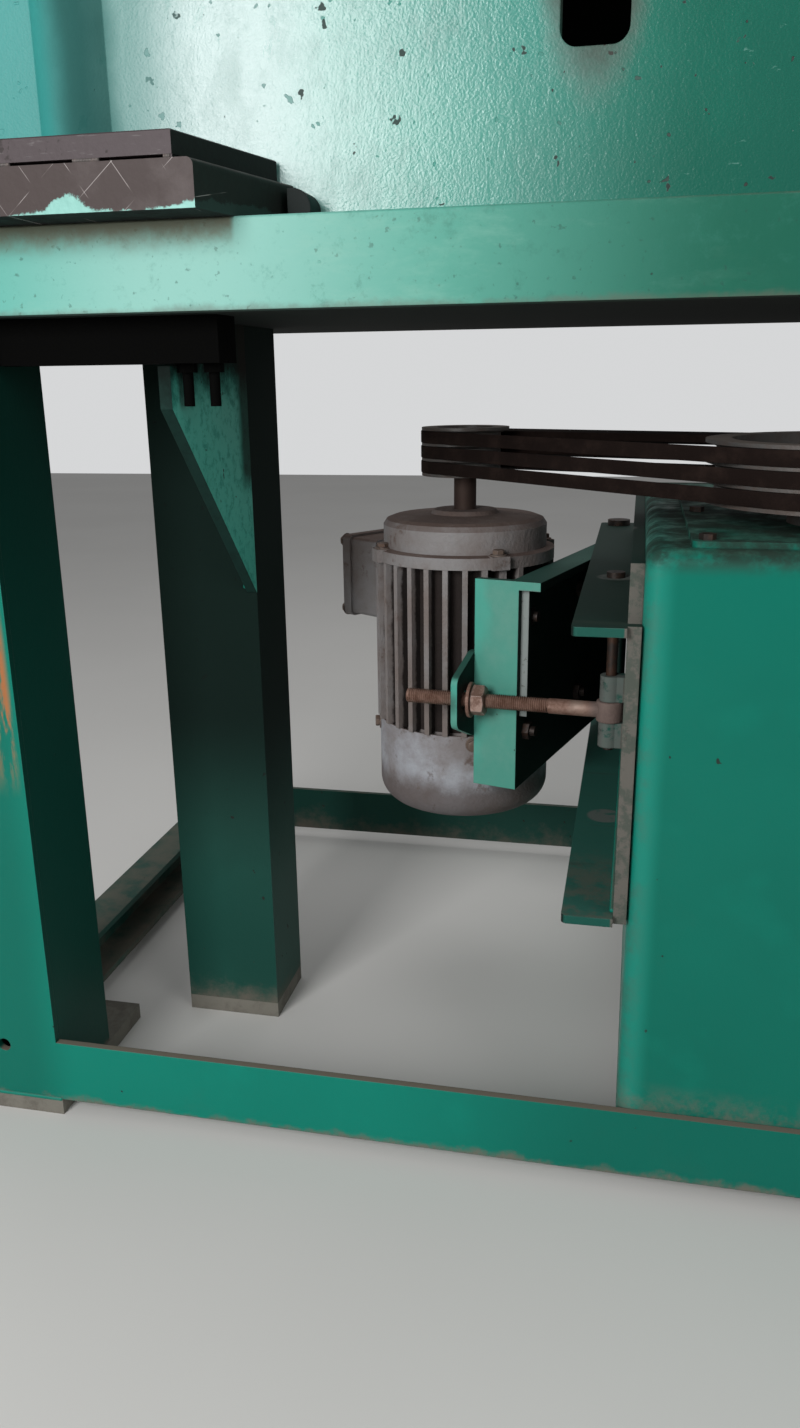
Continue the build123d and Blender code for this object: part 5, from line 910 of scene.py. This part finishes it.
class PRESS_OT_belts(FinishOperator):
    """Models the V belts round both pulleys"""

    bl_idname = "press.belts"
    bl_label = "Model the belts"

    def execute(self, context):
        rubber = plain(
            "belt_rubber", context.scene.press_metal.rubber, 0.9,
            ((24.0, 0.45, 0.70), (0.026, 0.016, 0.013), 0.6, 0.95), (500.0, 0.0003, 2.0), shine=0.08,
        )
        height = BELT_HEIGHTS[0]
        small = Vector((*MOTOR_AXIS, height))
        large = Vector((*PUMP_AXIS, height))
        first = self.belt(small, large)
        others = [copy_of(first, (0.0, 0.0, place - height), (0.0, 0.0, 0.0)) for place in BELT_HEIGHTS[1:]]
        belts = together([first, *others])
        settle(belts, "drive_belts", None, rubber, angle=40.0)
        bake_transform(belts)
        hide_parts("v_belts")
        return {"FINISHED"}

    def belt(self, small, large):
        """The hull of two discs without its ends, thickened inwards and tapered."""
        belt = together([
            disc(PUMP_BELT_RADIUS, BELT_WIDTH, large, sides=160),
            disc(MOTOR_BELT_RADIUS, BELT_WIDTH, small, sides=96),
        ])
        edit()
        everything()
        bpy.ops.mesh.convex_hull()
        choose("faces", is_end)
        bpy.ops.mesh.delete(type="FACE")
        choose("edges", lambda edge: is_rim(edge) and edge.calc_length() > 0.1)
        bpy.ops.mesh.subdivide(number_cuts=40)
        face_out()
        bpy.ops.mesh.solidify(thickness=BELT_DEPTH)
        face_out()
        span = large - small

        def looks_in(face):
            middle = face.calc_center_median()
            share = max(0.0, min(1.0, (middle - small).dot(span) / span.length_squared))
            return abs(face.normal.z) < 0.3 and face.normal.dot(middle - small - span * share) < 0.0

        choose("faces", looks_in)
        bpy.ops.transform.resize(value=(1.0, 1.0, BELT_TAPER), center_override=small)
        outer = BELT_WIDTH * 0.49
        soften(0.0012, lambda edge: is_rim(edge) and abs(edge.verts[0].co.z - small.z) > outer)
        edit(False)
        return belt


def on_rod(reach):
    """The point on the rod's middle line that lies so far from the eye."""
    return EYE + ROD_WAY * reach


class PRESS_OT_tightening_rod(FinishOperator):
    """Models the threaded eye bolt, its nut and its washer in place of the plain CAD ones"""

    bl_idname = "press.tightening_rod"
    bl_label = "Model the tightening rod"

    def execute(self, context):
        thread = context.scene.press_thread
        steel = self.steel(context.scene.press_metal.rod_steel)
        rod = together([self.shank(thread), self.thread(thread), self.tip(thread), self.eye()])
        settle(rod, "threaded_rod", "tie_rod", steel, angle=40.0)
        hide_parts("eye_bolt")
        nut_middle = on_rod(NUT_FACE - WASHER_DEPTH - thread.nut_height / 2.0)
        nut = hexagon(thread.nut_width, thread.nut_height, thread.crest + 0.0002, nut_middle, ROD_TURN)
        settle(nut, "chamfered_nut", "nut", self.nut_steel())
        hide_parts("tension_nut")
        middle = on_rod(NUT_FACE - WASHER_DEPTH / 2.0)
        washer = disc(WASHER_RADIUS, WASHER_DEPTH, middle, ROD_TURN, sides=48)
        turned(washer, bore=0.0094, bevel=0.0006, test=outside(WASHER_RADIUS))
        settle(washer, "round_washer", "nut", steel)
        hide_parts("lock_washer")
        return {"FINISHED"}

    def steel(self, tint):
        finish = Finish("rod_steel", tint, 0.6, metal=0.3)
        finish.cover((70.0, 0.42, 0.62), (0.13, 0.062, 0.040), 0.8, 0.85)
        finish.cover((22.0, 0.55, 0.72, 6.0, 0.5), (0.38, 0.29, 0.24), 0.6, 0.5)
        finish.cover(finish.step(finish.distance(EYE, "XY"), 0.030, 0.016), (0.155, 0.120, 0.110), 0.75, 0.8)
        finish.grain(420.0, 0.0004, 5.0)
        return finish.done()

    def nut_steel(self):
        finish = Finish("nut_steel", (0.34, 0.23, 0.19), 0.5, metal=0.35)
        finish.cover((80.0, 0.45, 0.62), (0.15, 0.075, 0.050), 0.75, 0.85)
        finish.cover(finish.edges(0.0012), (0.50, 0.42, 0.38), 0.7, 0.4)
        finish.grain(380.0, 0.0004, 5.0)
        return finish.done()

    def shank(self, thread):
        """The plain length next to the eye, chamfered where the thread begins."""
        depth = thread.plain - SHANK_START
        shank = disc(thread.crest, depth, on_rod(SHANK_START + depth / 2.0), ROD_TURN, sides=40)
        return turned(shank, bevel=0.0012, test=is_top, segments=1)

    def thread(self, thread):
        """One V profile, screwed along the rod."""
        clear()
        bpy.ops.mesh.primitive_circle_add(vertices=3, radius=1.0)
        rib = bpy.context.object
        rise = (thread.crest - thread.root) / 1.5
        edit()
        choose("edges", lambda edge: all(vert.co.y < 0.0 for vert in edge.verts))
        bpy.ops.mesh.delete(type="EDGE")
        everything()
        half = thread.pitch / math.sqrt(3.0)
        bpy.ops.transform.resize(value=(half, rise, 1.0), center_override=(0.0, 0.0, 0.0))
        bpy.ops.transform.translate(value=(0.0, thread.crest - rise, 0.0))
        edit(False)
        modify(
            rib, "SCREW", axis="X", angle=math.tau, screw_offset=thread.pitch, steps=thread.sides,
            render_steps=thread.sides, iterations=int((ROD_LENGTH - thread.plain) / thread.pitch),
        )
        edit()
        everything()
        bpy.ops.mesh.remove_doubles(threshold=0.00002)
        bpy.ops.mesh.fill_holes(sides=0)
        face_out()
        edit(False)
        rib.location = on_rod(thread.plain - 0.0005)
        rib.rotation_euler = (0.0, 0.0, math.atan2(ROD_WAY.y, ROD_WAY.x))
        return rib

    def tip(self, thread):
        """The bevelled end that shows past the last turn of thread."""
        middle = on_rod(ROD_LENGTH - TIP_LENGTH / 2.0)
        tip = disc(thread.root + 0.0003, TIP_LENGTH, middle, ROD_TURN, sides=40)
        return turned(tip, bevel=0.0010, test=is_top)

    def eye(self):
        """The bored knuckle round the upright pin."""
        knuckle = disc(radius=EYE_RADIUS, depth=0.024, place=EYE, sides=48)
        return turned(knuckle, bore=0.0061, bevel=0.0018, test=outside(EYE_RADIUS), segments=3)


class PRESS_OT_weld_beads(FinishOperator):
    """Lays the weld beads of frame, block, tank and bracket"""

    bl_idname = "press.weld_beads"
    bl_label = "Lay the weld beads"

    def execute(self, context):
        paint = context.scene.press_paint
        green = enamel("weld_enamel", paint.frame_green, chips=0.72, dirt=0.6, rough=0.4)
        steel = plain(
            "weld_steel", (0.090, 0.078, 0.074), 0.5,
            ((90.0, 0.45, 0.65, 6.0), (0.15, 0.115, 0.105), 0.7, 0.6), (400.0, 0.0002, 3.0), metal=0.35,
        )
        runs = []
        for low, high, seed in BLOCK_SEAMS:
            start, end = ((across, BLOCK_SEAM_FRONT, BLOCK_SEAM_HEIGHT) for across in (low, high))
            runs.append(weld(start, end, BLOCK_SEAM_RADIUS, seed))
        settle(together(runs), "block_welds", "frame", steel, angle=60.0)
        beads = [weld(*seam, FRAME_SEAM_SEED + number) for number, seam in enumerate(FRAME_SEAMS)]
        settle(together(beads), "frame_welds", "frame", green.done(), angle=60.0)
        return {"FINISHED"}


class PRESS_OT_fasteners(FinishOperator):
    """Models the screws of motor and lid, and the pipes' union nuts"""

    bl_idname = "press.fasteners"
    bl_label = "Model the fasteners"

    def execute(self, context):
        metal = context.scene.press_metal
        dull = Finish("screw_steel", (0.16, 0.115, 0.090), 0.6, metal=0.4)
        dull.cover((80.0, 0.45, 0.65, 6.0), (0.10, 0.055, 0.038), 0.7, 0.85)
        dull.cover(dull.edges(0.0008), darker(metal.motor_grey, 1.4), 0.5, 0.5)
        dull.grain(420.0, 0.0002, 3.0)
        steel = dull.done()
        first = screw_head(width=0.013, height=0.0055, washer=0.0016)
        motor = [copy_of(first, place, turn) for place, turn in self.motor_places()]
        settle(together(motor), "motor_screws", "bracket", steel)
        bpy.data.objects.remove(first)
        unions = []
        for place, axis in PIPE_JOINTS:
            turn = (0.0, math.pi / 2.0, 0.0) if axis == "X" else (0.0, 0.0, 0.0)
            unions.append(hexagon(width=0.027, height=0.022, bore=0.0082, place=place, turn=turn))
        zinc = plain(
            "union_zinc", (0.33, 0.31, 0.25), 0.38,
            ((60.0, 0.50, 0.66, 6.0), (0.14, 0.10, 0.07), 0.6, 0.7), (300.0, 0.0002, 3.0), metal=0.9,
        )
        settle(together(unions), "union_nuts", "frame", zinc)
        return {"FINISHED"}

    def motor_places(self):
        """Where the motor's screws sit and which way they face: shield lugs, cowl rim and terminal lid."""
        places = []
        axis = Vector((*MOTOR_AXIS, 0.0))
        for quarter in range(4):
            turn = MOTOR_TURN + math.radians(45.0 + 90.0 * quarter)
            lug = axis + level_way(turn) * SHIELD_SCREW_REACH + UP * SHIELD_LIP_TOP
            places.append((lug, (0.0, 0.0, turn)))
            way = level_way(MOTOR_TURN + math.radians(30.0 + 90.0 * quarter))
            places.append((axis + way * COWL_SCREW_REACH + UP * COWL_SCREW_HEIGHT, aimed(way)))
        way = level_way(LID_TURN)
        face = axis + way * LID_SCREW_REACH
        for across in LID_SCREWS_ACROSS:
            for height in LID_SCREW_HEIGHTS:
                places.append((face + UP.cross(way) * across + UP * height, aimed(way)))
        return places


class PRESS_OT_gauge(FinishOperator):
    """Models the gauge's dial with its marks and numbers, its bezel and its glass"""

    bl_idname = "press.gauge"
    bl_label = "Model the gauge"

    def execute(self, context):
        face = GAUGE_CENTRE + Vector((0.0, -0.0010, 0.0))
        dial = turned(disc(DIAL_RADIUS, depth=0.0012, place=face, turn=FRONTWARDS), bore=0.0028)
        yellowed = ((60.0, 0.50, 0.75, 6.0, 0.5), (0.50, 0.48, 0.40), 0.5)
        white = plain("dial_white", (0.62, 0.61, 0.56), 0.5, yellowed, None)
        settle(dial, "gauge_dial", "frame", white)
        faded = ((300.0, 0.5, 0.7, 3.0, 0.5), (0.03, 0.03, 0.03))
        ink = plain("dial_ink", (0.015, 0.015, 0.015), 0.5, faded, None)
        marks = []
        for number in range(DIVISIONS + 1):
            long = number % 5 == 0
            angle = math.radians(DIAL_START - DIAL_SWEEP * number / DIVISIONS)
            tall, wide = (0.006, 0.0010) if long else (0.003, 0.0005)
            marks.append(self.mark(face, angle, tall, wide))
            if long:
                marks.append(self.figure(face, angle, str(number * 10)))
        settle(together(marks), "gauge_marks", "frame", ink)
        self.rim()
        return {"FINISHED"}

    def mark(self, face, angle, tall, wide):
        """One thin bar, tapered towards the dial's middle."""
        clear()
        bpy.ops.mesh.primitive_cube_add(
            size=1.0, location=self.place(face, angle, MARKS_RADIUS - tall / 2.0, 0.0009),
            rotation=(0.0, -angle, 0.0), scale=(tall, 0.0004, wide),
        )
        bar = bpy.context.object
        edit()
        choose("faces", lambda part: part.normal.x < -0.9)
        bpy.ops.transform.resize(value=(1.0, 1.0, 0.6))
        edit(False)
        return bar

    def place(self, face, angle, radius, proud):
        """A point on the dial, a little in front of its face."""
        return face + Vector((math.cos(angle), 0.0, math.sin(angle))) * radius + Vector((0.0, -proud, 0.0))

    def figure(self, face, angle, words):
        """A flat number that stands upright on the dial."""
        clear()
        bpy.ops.object.text_add(
            location=self.place(face, angle, FIGURES_RADIUS, 0.0007), rotation=FRONTWARDS
        )
        text = bpy.context.object
        text.data.body = words
        text.data.size = 0.0085
        text.data.extrude = 0.0002
        text.data.align_x = "CENTER"
        text.data.align_y = "CENTER"
        bpy.ops.object.convert(target="MESH")
        return bpy.context.object

    def rim(self):
        """The bezel with its rolled lip, and the glass that it holds."""
        front = GAUGE_CENTRE + Vector((0.0, -0.0165, 0.0))
        bezel = disc(BEZEL_RADIUS, depth=0.006, place=front, turn=FRONTWARDS)
        turned(bezel, bore=0.0440, bevel=0.0018, test=lambda edge: is_rim(edge) and is_top(edge), segments=3)
        brass = plain(
            "bezel_brass", (0.42, 0.31, 0.15), 0.35,
            ((70.0, 0.5, 0.7, 6.0, 0.5), (0.18, 0.13, 0.07), 0.6, 0.6), (500.0, 0.0001, 2.0), metal=0.9,
        )
        settle(bezel, "gauge_bezel", "frame", brass)
        glass = turned(disc(GLASS_RADIUS, depth=0.0015, place=front, turn=FRONTWARDS), bevel=0.0005)
        clean = Finish("gauge_glass", (0.95, 0.97, 0.96), 0.04)
        clean.shader.inputs["Transmission Weight"].default_value = 1.0
        clean.shader.inputs["IOR"].default_value = 1.1
        settle(glass, "gauge_glass", "frame", clean.done())


class PRESS_OT_studio(bpy.types.Operator):
    """Sets up the pale floor, the soft lamps and the camera"""

    bl_idname = "press.studio"
    bl_label = "Set up the studio"

    def execute(self, context):
        studio = context.scene.press_studio
        self.floor()
        for name, place, target, width, height, watts in (
            ("key_lamp", (-1.05, -2.6, 1.55), (-0.1, -0.2, 0.8), 0.9, 1.3, studio.key_watts),
            ("fill_lamp", (2.2, -2.0, 1.6), (0.1, 0.0, 0.7), 1.6, 1.6, studio.fill_watts),
            ("top_lamp", (-0.3, 0.6, 3.4), (0.0, 0.0, 0.8), 2.0, 2.0, studio.fill_watts),
        ):
            light = bpy.data.lights.new(name, "AREA")
            light.shape = "RECTANGLE"
            light.size = width
            light.size_y = height
            light.energy = watts
            self.stand(name, light, place, aimed(Vector(target) - Vector(place), "-Z"))
        world = bpy.data.worlds.new("studio_world")
        world.use_nodes = True
        tree = world.node_tree
        backdrop = tree.nodes["Background"]
        backdrop.inputs["Color"].default_value = (0.93, 0.94, 0.95, 1.0)
        rays = tree.nodes.new("ShaderNodeLightPath")
        strength = tree.nodes.new("ShaderNodeMapRange")
        tree.links.new(rays.outputs["Is Camera Ray"], strength.inputs["Value"])
        strength.inputs["To Min"].default_value = studio.sky
        strength.inputs["To Max"].default_value = studio.backdrop
        tree.links.new(strength.outputs[0], backdrop.inputs["Strength"])
        context.scene.world = world
        camera = bpy.data.cameras.new("photo_camera")
        camera.lens = studio.lens
        camera.sensor_fit = "AUTO"
        camera.sensor_width = PHOTO_LONG_SIDE
        camera.clip_start = 0.01
        context.scene.camera = self.stand("photo_camera", camera, studio.eye, studio.turn)
        context.scene.view_settings.view_transform = "Standard"
        return {"FINISHED"}

    def floor(self):
        clear()
        bpy.ops.mesh.primitive_plane_add(size=14.0, location=(0.0, 1.0, 0.0))
        floor = bpy.context.object
        floor.name = "studio_floor"
        bpy.ops.object.transform_apply(location=True, rotation=True, scale=True)
        worn = ((1.2, 0.3, 0.7, 3.0, 0.5), (0.66, 0.65, 0.63), 0.6)
        floor.data.materials.append(plain("studio_floor", (0.62, 0.61, 0.59), 0.8, worn, None))

    def stand(self, name, data, place, turn):
        """Sets a lamp or a camera in the scene."""
        holder = bpy.data.objects.new(name, data)
        bpy.context.scene.collection.objects.link(holder)
        holder.location = place
        holder.rotation_euler = turn
        return holder


class PRESS_PT_panel(bpy.types.Panel):
    """Lists the settings and the operators of the press."""

    bl_idname = "PRESS_PT_panel"
    bl_label = "Hydraulic press"
    bl_space_type = "VIEW_3D"
    bl_region_type = "UI"
    bl_category = "Press"

    def draw(self, context):
        for kind in OPERATORS:
            self.layout.operator(kind.bl_idname)
        for group, _ in GROUPS:
            settings = getattr(context.scene, group)
            box = self.layout.box()
            for key in settings.bl_rna.properties.keys():
                if key not in ("name", "rna_type"):
                    box.prop(settings, key)


OPERATORS = (
    PRESS_OT_frame_paint,
    PRESS_OT_body_paint,
    PRESS_OT_tank_paint,
    PRESS_OT_block_steel,
    PRESS_OT_motor_finish,
    PRESS_OT_drive_finish,
    PRESS_OT_belts,
    PRESS_OT_tightening_rod,
    PRESS_OT_weld_beads,
    PRESS_OT_fasteners,
    PRESS_OT_gauge,
    PRESS_OT_studio,
)
GROUPS = (
    ("press_paint", PressPaint),
    ("press_metal", PressMetal),
    ("press_thread", PressThread),
    ("press_studio", PressStudio),
)


def register():
    for name, group in GROUPS:
        bpy.utils.register_class(group)
        setattr(bpy.types.Scene, name, PointerProperty(type=group))
    for kind in OPERATORS:
        bpy.utils.register_class(kind)
    bpy.utils.register_class(PRESS_PT_panel)


def unregister():
    bpy.utils.unregister_class(PRESS_PT_panel)
    for kind in reversed(OPERATORS):
        bpy.utils.unregister_class(kind)
    for name, group in reversed(GROUPS):
        delattr(bpy.types.Scene, name)
        bpy.utils.unregister_class(group)


def main():
    register()
    for kind in OPERATORS:
        group, name = kind.bl_idname.split(".")
        getattr(getattr(bpy.ops, group), name)()


if __name__ == "__main__":
    main()
